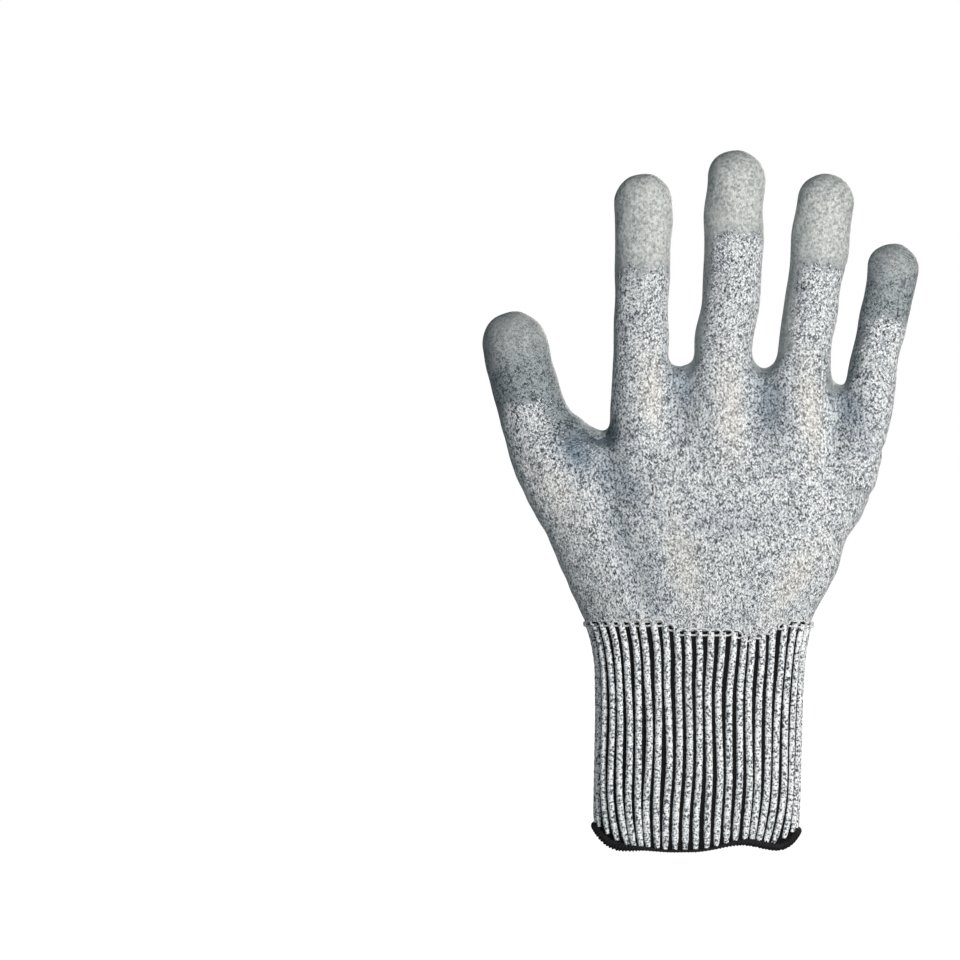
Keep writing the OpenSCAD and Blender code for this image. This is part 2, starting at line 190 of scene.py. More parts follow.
@dataclass
class DigitForm:
    """One digit: a tapering round sweep from inside the palm to the fingertip.

    Attributes:
        digit: Which digit it is.
        foot: Knots below the root bend, as x, y, z and radius.
        waist: Share of the CAD radius that the digit has between its bends.
        swell: Share of the CAD radius that the digit has near its round end.
        dip_down: How far the dip runs down the back of the digit from its tip.
        wrap_near: How far the dip wraps past mid depth on the thumb's side of the digit.
        wrap_far: The same on the little finger's side.
        root_zone: Where the knit bends at the root, along the digit from the root bend.
        mid_zone: Where the knit bends at the middle, along the digit from the root bend.
        soak_and_shade: How far in from the dip's edge the film is thinned and dark; a long reach is painted
            shade.
        shift: How far the digit bows towards the little finger between its bends.
        lean: Sideways lean of the last length in degrees, where the box's own isn't taken.
        rise: How far the round end stands above the CAD stall's.
        flat: Depth of the digit as a share of its width.
    """

    digit: Digit
    foot: list[tuple[float, float, float, float]]
    waist: float
    swell: float
    dip_down: float
    wrap_near: float
    wrap_far: float
    root_zone: tuple[float, float]
    mid_zone: tuple[float, float]
    soak_and_shade: float = 8
    shift: float = 0
    lean: float | None = None
    rise: float = 0
    flat: float = 0.95

    def __post_init__(self) -> None:
        """Works out the path from the joints and from the CAD tip's box."""
        name = self.digit.value
        low, high = box_mm(f"{name}_tip_stall")
        self.radius = (high[Y] - low[Y]) / 2
        self.root = pivot(f"{name}_root")
        self.mid = pivot(f"{name}_mid")
        end_r = self.swell * self.radius
        end_z = high[Z] + self.rise - end_r
        slope = ((low[0] + high[0]) / 2 - self.mid[0]) / ((low[Z] + high[Z]) / 2 - self.mid[Z])
        if self.lean is not None:
            slope = math.tan(math.radians(self.lean))
        end_x = self.mid[0] + slope * (end_z - self.mid[Z])
        tip = np.array([end_x, 0, end_z])
        half = (self.root + self.mid) / 2
        near = self.mid + 0.45 * (tip - self.mid)
        stops = [
            (self.root, 0.3, self.waist - 0.03),
            (half, 1, self.waist - 0.01),
            (self.mid, 0.75, self.waist),
            (near, 0.25, self.waist + 0.7 * (self.swell - self.waist)),
            (tip, 0, self.swell),
        ]
        knots = [(at[0] + share * self.shift, 0, at[Z], size * self.radius) for at, share, size in stops]
        self.path = through(np.array(self.foot + knots, float), 7)
        hops = np.linalg.norm(np.diff(self.path[:, :3], axis=0), axis=1)
        run = np.concatenate([[0], np.cumsum(hops)])
        at_root = np.argmin(np.linalg.norm(self.path[:, :3] - self.root, axis=1))
        self.run = run - run[at_root]
        self.length = self.run[-1] + end_r
        step = self.mid - self.root
        self.axis = step / np.linalg.norm(step)

    def along(self, at: float) -> np.ndarray:
        """A place on the straight line through both bends, in metres.

        Args:
            at: Distance from the root bend in millimetres.

        Returns:
            The place.
        """
        return (self.root + self.axis * at) * MM

    def way(self, station: np.ndarray) -> np.ndarray:
        """The digit's direction.

        Args:
            station: Distances along the path from the root bend.

        Returns:
            Unit vectors, one row each.
        """
        steps = np.gradient(self.path[:, :3], axis=0)
        out = np.stack([np.interp(station, self.run, steps[:, k]) for k in range(3)], axis=1)
        return out / np.linalg.norm(out, axis=1)[:, None]

    def middle(self, z: np.ndarray) -> np.ndarray:
        """The digit's middle line, and straight down from its lower end.

        Args:
            z: Heights.

        Returns:
            The x of the line at each height.
        """
        return np.interp(z, self.path[:, Z], self.path[:, 0])

    def locate(self, points: np.ndarray) -> tuple[np.ndarray, np.ndarray, np.ndarray]:
        """Finds where points lie on the digit.

        Args:
            points: Places in millimetres, one row each.

        Returns:
            Signed distance to the digit's skin, distance along the path from the root bend, and the
            angle round it, which is 0 on the back and grows towards the little finger.
        """
        scaled = points.copy()
        best = np.full(len(points), 1e9)
        station = np.zeros(len(points))
        offset_x = np.zeros(len(points))
        offset_y = np.zeros(len(points))
        for i in range(len(self.path) - 1):
            a, b = self.path[i], self.path[i + 1]
            step = b[:3] - a[:3]
            rel = scaled - a[:3]
            rel[:, Y] /= self.flat
            t = np.clip(rel @ step / (step @ step), 0, 1)
            gap = rel - t[:, None] * step
            dist = np.linalg.norm(gap, axis=1) - (a[3] + t * (b[3] - a[3]))
            nearer = dist < best
            best[nearer] = dist[nearer]
            station[nearer] = (self.run[i] + t * (self.run[i + 1] - self.run[i]))[nearer]
            side = gap[:, 0] * step[Z] - gap[:, Z] * step[0]
            offset_x[nearer] = (side / np.linalg.norm(step))[nearer]
            offset_y[nearer] = gap[nearer, Y]
            if i == len(self.path) - 2:
                past = nearer & (t >= 1)
                station[past] += (rel @ step / np.linalg.norm(step) - np.linalg.norm(step))[past]
        return best, station, np.arctan2(offset_x, -offset_y)

    def distance(self, points: np.ndarray) -> np.ndarray:
        """Signed distance to the digit's skin; points far from it get a plain large number.

        Args:
            points: Places in millimetres, one row each.

        Returns:
            The distances.
        """
        reach = 14
        low = self.path[:, :3].min(axis=0) - self.path[:, 3].max() - reach
        high = self.path[:, :3].max(axis=0) + self.path[:, 3].max() + reach
        near = np.all((points > low) & (points < high), axis=1)
        out = np.full(len(points), float(reach))
        out[near] = self.locate(points[near])[0]
        return out


@dataclass(frozen=True)
class Fold:
    """A soft ridge or furrow in the fabric, along a straight run on one face of the hand.

    Attributes:
        start: One end of the run, as x and z.
        end: The other end.
        side: The face that it is on, or None for all the way round.
        lift: Its height, below zero for a furrow.
        width: How wide it is.
    """

    start: tuple[float, float]
    end: tuple[float, float]
    side: Side | None
    lift: float
    width: float

    def lift_at(self, points: np.ndarray) -> np.ndarray:
        """How far the fold lifts the skin at each point.

        Args:
            points: Places in millimetres, one row each.

        Returns:
            The lifts.
        """
        a, b = np.array(self.start), np.array(self.end)
        flat = points[:, [0, Z]]
        step = b - a
        t = np.clip((flat - a) @ step / (step @ step), 0, 1)
        gap = np.linalg.norm(flat - a - t[:, None] * step, axis=1)
        taper = 0.35 + 0.65 * np.sin(np.pi * np.clip(t, 0.08, 0.92))
        lift = self.lift * taper * np.exp(-((gap / self.width) ** 2))
        return lift * ease(self.side.value * points[:, Y], 0, 5) if self.side else lift


@dataclass
class PalmForm:
    """The hand between the cuff and the finger crotches.

    Attributes:
        rows: Height above the linking course, left edge, right edge, depth of the back, depth of the palm.
        crotches: Heights of the top edge below the finger roots, as x and distance below the index root.
        squareness: How square the section is: 2 is an ellipse.
        edge: How far the rounding of the top edge reaches.
    """

    rows: list[tuple[float, float, float, float, float]]
    crotches: list[tuple[float, float]]
    squareness: float = 2.5
    edge: float = 9

    def __post_init__(self) -> None:
        """Sets the rows at their real heights and smooths them."""
        table = np.array(self.rows, float)
        self.base = box_mm("linking_course")[0][Z]
        self.heights = np.arange(-80, 114, 1.0)
        self.smooth = [self._smoothed(table[:, 0], table[:, k]) for k in range(1, 5)]

    def _smoothed(self, heights: np.ndarray, values: np.ndarray) -> np.ndarray:
        """A row value on even heights, with its corners rounded.

        Args:
            heights: The rows' heights.
            values: The rows' values.

        Returns:
            One value for each of self.heights.
        """
        even = np.interp(self.heights, heights, values)
        kernel = np.exp(-((np.arange(-6, 7) / 2.2) ** 2))
        return np.convolve(np.pad(even, 6, mode="edge"), kernel / kernel.sum(), mode="valid")

    def section(self, z: np.ndarray) -> tuple[np.ndarray, np.ndarray, np.ndarray, np.ndarray]:
        """The hand's section at some heights.

        Args:
            z: Heights in millimetres.

        Returns:
            Centre in x, half width, centre in y and half depth.
        """
        left, right, back, palm = (np.interp(z - self.base, self.heights, s) for s in self.smooth)
        return (left + right) / 2, (right - left) / 2, (palm - back) / 2, (palm + back) / 2

    def around(self, points: np.ndarray) -> np.ndarray:
        """How far round the hand points lie, in turns, even along the fabric: 0 is mid back.

        Args:
            points: Places in millimetres, one row each.

        Returns:
            Turns from -0.5 to 0.5, growing towards the little finger.
        """
        cx, a, cy, b = self.section(points[:, Z])
        angle = np.arctan2((points[:, 0] - cx) / a, -(points[:, Y] - cy) / b)
        ratio = np.clip(b / a, 0.1, 1)
        steps = np.linspace(0, np.pi / 2, 49)
        ratios = np.linspace(0.1, 1, 19)
        speed = np.sqrt(np.cos(steps)[None] ** 2 + (ratios[:, None] * np.sin(steps)[None]) ** 2)
        hops = (speed[:, 1:] + speed[:, :-1]) / 2
        arc = np.concatenate([np.zeros((len(ratios), 1)), np.cumsum(hops, axis=1)], axis=1)
        arc /= arc[:, -1:]
        folded = np.abs(angle)
        quarter = np.where(folded > np.pi / 2, np.pi - folded, folded)
        row = (ratio - ratios[0]) / (ratios[1] - ratios[0])
        low = np.clip(row.astype(int), 0, len(ratios) - 2)
        col = quarter / (steps[1] - steps[0])
        left = np.clip(col.astype(int), 0, len(steps) - 2)
        fr, fc = row - low, col - left
        value = (
            arc[low, left] * (1 - fr) * (1 - fc)
            + arc[low + 1, left] * fr * (1 - fc)
            + arc[low, left + 1] * (1 - fr) * fc
            + arc[low + 1, left + 1] * fr * fc
        )
        turn = np.where(folded > np.pi / 2, 2 - value, value) / 4
        return turn * np.sign(angle)

    def distance(self, points: np.ndarray) -> np.ndarray:
        """Signed distance to the palm's skin.

        Args:
            points: Places in millimetres, one row each.

        Returns:
            The distances.
        """
        cx, a, cy, b = self.section(points[:, Z])
        n = self.squareness
        u, v = np.abs(points[:, 0] - cx) / a, np.abs(points[:, Y] - cy) / b
        rho = np.maximum((u**n + v**n) ** (1 / n), 0.05)
        slope = rho ** (1 - n) * np.sqrt((u ** (n - 1) / a) ** 2 + (v ** (n - 1) / b) ** 2)
        side = np.maximum((rho - 1) / np.maximum(slope, 0.01), -b)
        xs, drops = np.array(self.crotches, float).T
        top = points[:, Z] - (pivot("index_root")[Z] - np.interp(points[:, 0], xs, drops))
        return soft_max(side, top, self.edge)


@dataclass
class HandForm:
    """The whole hand: the palm, five digits, the web of the thumb, and the folds of the fabric.

    Attributes:
        palm: The palm.
        digits: The five digits.
        web: The web between thumb and index finger, as a sweep of x, y, z and radius.
        folds: Ridges and valleys.
        root_reach: How far the digits blend into the palm.
        web_reach: How far the thumb and its web blend into the palm.
        painted_light_spots: Spots of painted shade on the back, as x, z, width, height, lean and depth of the
            painted shade,
        and spots of painted highlight on ridges, as less than no depth.
        ripple: Height of the unevenness all over the fabric.
    """

    palm: PalmForm
    digits: list[DigitForm]
    web: np.ndarray
    folds: list[Fold]
    root_reach: float = 7
    web_reach: float = 12
    painted_light_spots: tuple = (
        # Painted shade in the crotches, the thumb's web and the furrows of the back.
        (-6, 166, 6, 12, -0.1, 0.75),
        (25, 160, 7, 16, -0.1, 0.75),
        (53, 158, 7, 12, -0.3, 0.75),
        (-36, 148, 9, 6, 0, 1.0),
        (-43.5, 142, 8, 9, -0.5, 1.0),
        (-27, 132, 9, 14, -0.5, 0.55),
        (-16, 98, 6, 20, -0.15, 0.42),
        (8, 117, 26, 5, 0, 0.28),
        (18, 88, 8, 9, 0.6, 0.15),
        # Painted highlight on ridges from here on, with depths below zero.
        (-16.5, 164, 4.5, 13, -0.05, -0.8),
        (11.5, 158, 5, 17, -0.05, -0.8),
        (40, 157, 5, 16, -0.1, -0.8),
        (-6, 104, 7, 18, -0.2, -0.6),
        (34, 96, 7, 14, 0.5, -0.6),
        (-50, 128, 7, 14, -0.4, -0.5),
    )
    ripple: float = 0.28

    def uneven(self, points: np.ndarray) -> np.ndarray:
        """Slow unevenness of the fabric, from a few crossing waves.

        Args:
            points: Places in millimetres, one row each.

        Returns:
            Lifts in millimetres.
        """
        draw = np.random.default_rng(SEED)
        out = np.zeros(len(points))
        for wave in (34, 23, 15, 10, 7.5):
            way = draw.normal(size=3)
            way /= np.linalg.norm(way)
            bend = draw.normal(size=3) * 0.02
            phase = draw.uniform(0, 6.28)
            swing = points @ way * 2 * np.pi / wave + phase + 2 * np.sin(points @ bend)
            out += np.sin(swing) * (wave / 34) ** 0.6
        return self.ripple * out / 1.6

    def distance(self, points: np.ndarray) -> np.ndarray:
        """Signed distance to the glove's skin.

        Args:
            points: Places in millimetres, one row each.

        Returns:
            The distances, below zero inside.
        """
        out = self.palm.distance(points)
        for form in self.digits:
            reach = self.web_reach if form.digit is Digit.THUMB else self.root_reach
            out = soft_min(out, form.distance(points), reach)
        for a, b in zip(self.web[:-1], self.web[1:]):
            step = b[:3] - a[:3]
            rel = points - a[:3]
            t = np.clip(rel @ step / (step @ step), 0, 1)
            gap = np.linalg.norm(rel - t[:, None] * step, axis=1) - (a[3] + t * (b[3] - a[3]))
            out = soft_min(out, gap, self.web_reach)
        near = np.abs(out) < 6
        lift = self.uneven(points[near])
        for fold in self.folds:
            lift += fold.lift_at(points[near])
        out[near] -= lift
        return out


def skin_of(form: HandForm, low: np.ndarray, high: np.ndarray, cell: float) -> tuple[np.ndarray, np.ndarray]:
    """Wraps a quad mesh round a signed distance, one vertex for each grid cell that the skin crosses.

    Args:
        form: What gives the distance.
        low: Lowest corner of the grid.
        high: Highest corner of the grid.
        cell: Size of a cell.

    Returns:
        Vertices in millimetres and quads whose faces point outwards.
    """
    counts = np.ceil((high - low) / cell).astype(int) + 1
    axes = [low[k] + cell * np.arange(counts[k]) for k in range(3)]
    grid = np.stack(np.meshgrid(*axes, indexing="ij"), axis=-1)
    value = form.distance(grid.reshape(-1, 3)).reshape(counts)
    inside = value < 0
    total = np.zeros(tuple(counts - 1) + (3,))
    hits = np.zeros(tuple(counts - 1))
    crossings = []
    for axis in range(3):
        head = [slice(None)] * 3
        tail = [slice(None)] * 3
        head[axis], tail[axis] = slice(None, -1), slice(1, None)
        head, tail = tuple(head), tuple(tail)
        a, b = value[head], value[tail]
        cross = inside[head] != inside[tail]
        share = np.where(cross, a / np.where(cross, a - b, 1), 0)
        place = grid[head].copy()
        place[..., axis] += share * cell
        others = [k for k in range(3) if k != axis]
        for i in (0, 1):
            for j in (0, 1):
                shift = [slice(None)] * 3
                shift[others[0]] = slice(i, counts[others[0]] - 1 + i)
                shift[others[1]] = slice(j, counts[others[1]] - 1 + j)
                shift = tuple(shift)
                total += place[shift] * cross[shift][..., None]
                hits += cross[shift]
        crossings.append((axis, cross, inside[head]))
    used = hits > 0
    number = np.full(used.shape, -1)
    number[used] = np.arange(used.sum())
    verts = total[used] / hits[used][:, None]
    quads = []
    for axis, cross, starts_inside in crossings:
        o1, o2 = (axis + 1) % 3, (axis + 2) % 3
        where = np.argwhere(cross)
        where = where[(where[:, o1] > 0) & (where[:, o2] > 0)]
        where = where[(where[:, o1] < counts[o1] - 1) & (where[:, o2] < counts[o2] - 1)]
        ring = []
        for i, j in ((1, 1), (0, 1), (0, 0), (1, 0)):
            at = where.copy()
            at[:, o1] -= i
            at[:, o2] -= j
            ring.append(number[at[:, 0], at[:, 1], at[:, 2]])
        ring = np.stack(ring, axis=1)
        flip = ~starts_inside[where[:, 0], where[:, 1], where[:, 2]]
        ring[flip] = ring[flip][:, ::-1]
        quads.append(ring)
    return verts, np.vstack(quads)


def gradient(form: HandForm, points: np.ndarray) -> np.ndarray:
    """The direction in which the distance grows.

    Args:
        form: What gives the distance.
        points: Places in millimetres, one row each.

    Returns:
        One vector for each point.
    """
    step = 0.15
    out = np.zeros_like(points)
    for k in range(3):
        nudge = np.zeros(3)
        nudge[k] = step
        out[:, k] = (form.distance(points + nudge) - form.distance(points - nudge)) / (2 * step)
    return out


def sides_of(quads: np.ndarray) -> np.ndarray:
    """Each face's four sides, in the direction that the face goes round them.

    Args:
        quads: The faces.

    Returns:
        Pairs of vertex numbers.
    """
    return np.vstack([quads[:, [i, (i + 1) % 4]] for i in range(4)])


def settle(
    form: HandForm, verts: np.ndarray, quads: np.ndarray, rounds: int = 2
) -> tuple[np.ndarray, np.ndarray]:
    """Evens out a mesh and puts its vertices exactly on the skin.

    Args:
        form: What gives the distance.
        verts: Vertices in millimetres.
        quads: The mesh's quads.
        rounds: How often it is evened out and put back.

    Returns:
        The vertices, and the skin's direction at each.
    """
    edges = np.unique(np.sort(sides_of(quads), axis=1), axis=0)
    count = np.bincount(edges.ravel(), minlength=len(verts)).astype(float)
    for _ in range(rounds):
        mean = np.zeros_like(verts)
        np.add.at(mean, edges[:, 0], verts[edges[:, 1]])
        np.add.at(mean, edges[:, 1], verts[edges[:, 0]])
        verts = verts + 0.6 * (mean / count[:, None] - verts)
        slope = gradient(form, verts)
        size = np.maximum((slope**2).sum(axis=1), 0.05)
        verts = verts - slope * (form.distance(verts) / size)[:, None]
    slope = gradient(form, verts)
    return verts, slope / np.linalg.norm(slope, axis=1)[:, None]


# ---- sizes that the hand is built from ----


def hand_form() -> HandForm:
    """The glove's hand, with every size that was chosen for it.

    Returns:
        The form.
    """
    palm = PalmForm(
        rows=[
            (-79, -37.0, 35.0, 17.9, 17.9),
            (-60, -36.8, 35.6, 17.8, 17.8),
            (-30, -36.2, 36.4, 17.8, 17.8),
            (-12, -36.4, 37.2, 18.0, 18.0),
            (-4, -37.6, 38.2, 18.4, 18.3),
            (2, -39.4, 39.4, 19.0, 18.7),
            (8, -42.2, 42.2, 19.6, 19.0),
            (14.5, -44.0, 46.3, 19.6, 19.2),
            (22.5, -45.5, 50.0, 18.8, 19.0),
            (34.5, -44.5, 53.5, 17.6, 18.6),
            (46.5, -41.0, 60.0, 16.6, 17.8),
            (54.5, -38.5, 62.6, 15.6, 16.8),
            (64.5, -35.0, 62.8, 14.0, 15.2),
            (74.5, -31.6, 66.8, 12.2, 13.4),
            (84.5, -30.6, 70.4, 10.2, 11.4),
            (95, -30.6, 72.6, 8.6, 9.4),
            (112, -30.6, 74.0, 8.0, 9.0),
        ],
        crotches=[
            (-40, 11),
            (-12, 9.4),
            (-5, 9.2),
            (8, 9),
            (23, 9.9),
            (36, 10.4),
            (49, 16.6),
            (60, 22),
            (80, 26),
        ],
    )
    digits = [
        DigitForm(
            Digit.THUMB,
            [(-24, 0, 94, 13.5), (-38.5, 0, 111, 13), (-50, 0, 129.5, 12)],
            waist=1.03,
            swell=0.97,
            dip_down=32.6,
            wrap_near=3.5,
            wrap_far=9.8,
            root_zone=(-3.5, 9),
            mid_zone=(12.5, 30.5),
            # Painted shade: the darkening reaches far up the thumb.
            soak_and_shade=62,
            lean=-12.6,
            shift=0.5,
            rise=0.6,
        ),
        DigitForm(
            Digit.INDEX,
            [(-21.5, -7.0, 145, 6.8), (-20.9, -4.2, 164, 8.4)],
            waist=0.985,
            swell=1.0,
            rise=0.6,
            dip_down=34.8,
            wrap_near=4,
            wrap_far=-1,
            root_zone=(-8.2, 10.3),
            mid_zone=(14.3, 36.3),
        ),
        DigitForm(
            Digit.MIDDLE,
            [(7.6, -7.2, 144, 6.8), (8.3, -4.2, 164, 8.4)],
            waist=1.02,
            swell=1.0,
            rise=1.0,
            shift=1.6,
            dip_down=31,
            wrap_near=6.5,
            wrap_far=-1,
            root_zone=(-8.2, 10.3),
            mid_zone=(18.3, 40.4),
        ),
        DigitForm(
            Digit.RING,
            [(35.5, -7.0, 142, 6.8), (37.3, -4.0, 162, 8.5)],
            waist=1.0,
            swell=1.04,
            rise=0.6,
            soak_and_shade=9,
            dip_down=33.8,
            wrap_near=7.4,
            wrap_far=-1,
            root_zone=(-8.2, 10.3),
            mid_zone=(14.4, 36.5),
        ),
        DigitForm(
            Digit.LITTLE,
            [(56, -6.4, 133, 6.2), (60.4, -3.6, 155, 7.9)],
            waist=0.93,
            swell=0.96,
            rise=0.6,
            # Painted shade: the darkening reaches far up the little finger.
            soak_and_shade=60,
            dip_down=26.3,
            wrap_near=7.6,
            wrap_far=-1,
            root_zone=(-8.6, 8.5),
            mid_zone=(10.5, 29),
        ),
    ]
    web = [
        (-53, 0, 140, 7.2),
        (-48, 0, 144.4, 6.3),
        (-42.6, 0, 137, 5.4),
        (-36, 0, 134.2, 5.6),
        (-30, 0, 137.4, 5.6),
    ]
    folds = [
        Fold((-6.5, 148), (-5, 172), Side.BACK, -1.7, 4.5),
        Fold((21.5, 146), (23.5, 171), Side.BACK, -1.7, 4.5),
        Fold((46.5, 140), (49.8, 164), Side.BACK, -1.6, 4.5),
        Fold((-34.5, 147), (-32, 124), Side.BACK, -2.8, 4.8),
        Fold((-32, 126), (-25, 104), Side.BACK, -2.2, 4.8),
        Fold((-26, 108), (-19, 86), Side.BACK, -1.4, 4.6),
        Fold((17, 77), (37, 104), Side.BACK, 1.7, 5.0),
        Fold((26, 76), (44, 99), Side.BACK, -1.2, 3.6),
        Fold((57, 131), (61, 139), None, 1.0, 4.2),
        Fold((54, 143), (65, 143.2), None, -1.5, 2.0),
        Fold((56, 115), (58, 123), None, 0.9, 4.0),
        Fold((50, 127), (62, 127), None, -1.1, 1.7),
        Fold((-33, 144), (-24, 112), Side.PALM, -2.0, 5.0),
        Fold((-24, 112), (-12, 92), Side.PALM, -1.2, 5.0),
    ]
    return HandForm(palm, digits, np.array(web, float), folds)


# ---- meshes ----


@dataclass
class Skin:
    """The whole hand's outer face, with what the materials need to know at each place.

    Attributes:
        verts: Vertices in millimetres.
        normals: The skin's direction at each vertex.
        quads: The faces.
        knit: Place in the knitting at each corner of each face, in wales and courses.
        coat: How far inside the dipped part each vertex is, in millimetres.
        thin_dip_and_shade: How much of the yarn shows darkened through the dip at each vertex, from 0 to 1:
            near the film's edge, and as painted shade.
        under: How far on the palm side each vertex is, from 0 to 1.
        painted_shade: Painted shade at each vertex, from 0 to 1, mostly in folds, or painted highlight on
            ridges, from 0 to -1.
        digit: For each face, the number of the digit that it belongs to, or -1 for the palm.
        along: For each vertex and digit, how far along the digit's straight axis it lies.
    """

    verts: np.ndarray
    normals: np.ndarray
    quads: np.ndarray
    knit: np.ndarray
    coat: np.ndarray
    thin_dip_and_shade: np.ndarray
    under: np.ndarray
    painted_shade: np.ndarray
    digit: np.ndarray
    along: np.ndarray


@dataclass(frozen=True)
class Gauge:
    """The fineness of the knitting.

    Attributes:
        wale: Width of a stitch in millimetres.
        course: Height of a stitch.
    """

    wale: float = 1.22
    course: float = 0.76


def mesh_object(
    name: str,
    verts: np.ndarray,
    faces: list | np.ndarray,
    material: bpy.types.Material | None = None,
    normals: np.ndarray | None = None,
    knit: np.ndarray | None = None,
    values: dict[str, np.ndarray] | None = None,
) -> bpy.types.Object:
    """Makes a mesh object from arrays.

    Args:
        name: The object's name.
        verts: Vertices in millimetres.
        faces: The faces' vertex numbers.
        material: Its material.
        normals: The direction to shade each vertex with.
        knit: A UV place for each corner of each face.
        values: Named numbers for each vertex.

    Returns:
        The object, at the origin.
    """
    mesh = bpy.data.meshes.new(name)
    mesh.from_pydata((verts * MM).tolist(), [], faces.tolist() if isinstance(faces, np.ndarray) else faces)
    mesh.polygons.foreach_set("use_smooth", np.ones(len(mesh.polygons), bool))
    if knit is not None:
        layer = mesh.uv_layers.new(name="knit")
        layer.data.foreach_set("uv", knit.reshape(-1).astype(np.float32))
    for key, numbers in (values or {}).items():
        attribute = mesh.attributes.new(key, "FLOAT", "POINT")
        attribute.data.foreach_set("value", numbers.astype(np.float32))
    if material:
        mesh.materials.append(material)
    mesh.update()
    if normals is not None:
        mesh.normals_split_custom_set_from_vertices(normals.tolist())
    obj = bpy.data.objects.new(name, mesh)
    bpy.context.scene.collection.objects.link(obj)
    return obj


def rim_of(quads: np.ndarray) -> np.ndarray:
    """The edges of a patch that only one face has, in the direction that the face goes round them.

    Args:
        quads: The patch's faces.

    Returns:
        Pairs of vertex numbers.
    """
    edges = sides_of(quads)
    size = quads.max() + 1
    forward, backward = edges[:, 0] * size + edges[:, 1], edges[:, 1] * size + edges[:, 0]
    return edges[~np.isin(forward, backward)]


def cloth(
    name: str,
    skin: Skin,
    keep: np.ndarray,
    material: bpy.types.Material,
    thickness: float,
    lift: np.ndarray | None = None,
) -> bpy.types.Object:
    """A patch of the skin as a closed sheet of some thickness.

    Args:
        name: The object's name.
        skin: The whole skin.
        keep: Which faces it has.
        material: Its material.
        thickness: How thick it is.
        lift: How far each vertex of the skin is lifted.

    Returns:
        The object.
    """
    quads = skin.quads[keep]
    used, local = np.unique(quads, return_inverse=True)
    local = local.reshape(quads.shape)
    normals = skin.normals[used]
    outer = skin.verts[used] + (normals * lift[used][:, None] if lift is not None else 0)
    inner = outer - normals * thickness
    rim = rim_of(local)
    n = len(used)
    sides = np.stack([rim[:, 1], rim[:, 0], rim[:, 0] + n, rim[:, 1] + n], axis=1)
    faces = np.vstack([local, local[:, ::-1] + n, sides])
    knit = skin.knit[keep]
    uvs = np.concatenate([knit, knit[:, ::-1], np.zeros((len(sides), 4, 2))])
    values = {key: np.tile(getattr(skin, key)[used], 2) for key in ("coat", "thin_dip_and_shade", "under", "painted_shade")}
    return mesh_object(
        name, np.vstack([outer, inner]), faces, material, np.vstack([normals, -normals]), uvs, values
    )


def knit_map(
    form: HandForm, gauge: Gauge, verts: np.ndarray, normals: np.ndarray, quads: np.ndarray
) -> np.ndarray:
    """Lays the knitting on the skin, with stitches as even as the shape allows.

    Wales run along each digit and up the hand. The map is cut on the palm side, along each digit's middle.

    Args:
        form: The hand.
        gauge: The knitting.
        verts: The skin's vertices.
        normals: The skin's direction at each.
        quads: The skin's faces.

    Returns:
        Wale and course at each corner of each face.
    """
    up = np.tile([0.0, 0.0, 1.0], (len(verts), 1))
    sides = np.zeros((len(form.digits), len(verts)), bool)
    for i, digit in enumerate(form.digits):
        gap, station, _ = digit.locate(verts)
        share = ease(-gap, -7, -1) * ease(station, *((-62, -20) if digit.digit is Digit.THUMB else (-25, -4)))
        up += 8 * share[:, None] * digit.way(station)
        sides[i] = verts[:, 0] > digit.middle(verts[:, Z])
    across = np.cross(up, normals)
    across /= np.maximum(np.linalg.norm(across, axis=1), 1e-6)[:, None]
    rise = np.cross(normals, across)
    edges = np.unique(np.sort(sides_of(quads), axis=1), axis=0)

    def steps(a: np.ndarray, b: np.ndarray) -> np.ndarray:
        hop = verts[b] - verts[a]
        wales = (hop * (across[a] + across[b])).sum(axis=-1) / (2 * gauge.wale)
        courses = (hop * (rise[a] + rise[b])).sum(axis=-1) / (2 * gauge.course)
        return np.stack([wales, courses], axis=-1)

    palm_side = verts[:, Y] > 0
    crossing = (sides[:, edges[:, 0]] != sides[:, edges[:, 1]]).any(axis=0) & palm_side[edges].all(axis=1)
    a, b = edges[~crossing].T
    want = steps(a, b)
    count = len(verts)

    def spread(values: np.ndarray) -> np.ndarray:
        sums = [np.bincount(b, values[:, k], count) - np.bincount(a, values[:, k], count) for k in (0, 1)]
        return np.stack(sums, axis=1)

    place = np.stack([verts[:, 0] / gauge.wale, verts[:, Z] / gauge.course], axis=1)
    left = spread(want - (place[b] - place[a]))
    way, size = left.copy(), (left**2).sum(axis=0)
    for _ in range(900):
        pushed = spread(way[b] - way[a])
        pace = size / np.maximum((way * pushed).sum(axis=0), 1e-12)
        place += pace * way
        left -= pace * pushed
        fresh = (left**2).sum(axis=0)
        if (fresh < 1e-3).all():
            break
        way = left + (fresh / size) * way
        size = fresh
    knit = place[quads]
    split = (sides[:, quads] != sides[:, quads[:, :1]]).any(axis=(0, 2)) & palm_side[quads].all(axis=1)
    torn = quads[split]
    first = torn[:, :1].repeat(4, axis=1)
    knit[split] = place[first] + steps(first, torn)
    return knit


# Where the dip comes through between the digits: x, drop below the index finger's root bend, and reach.
CROTCH_DIPS = (
    (-5, 7.6, 3.9),
    (23, 8.3, 3.9),
    (49, 14.6, 4.2),
    (-36, 31.5, 6.5),
    (-42.5, 28.5, 6.0),
)


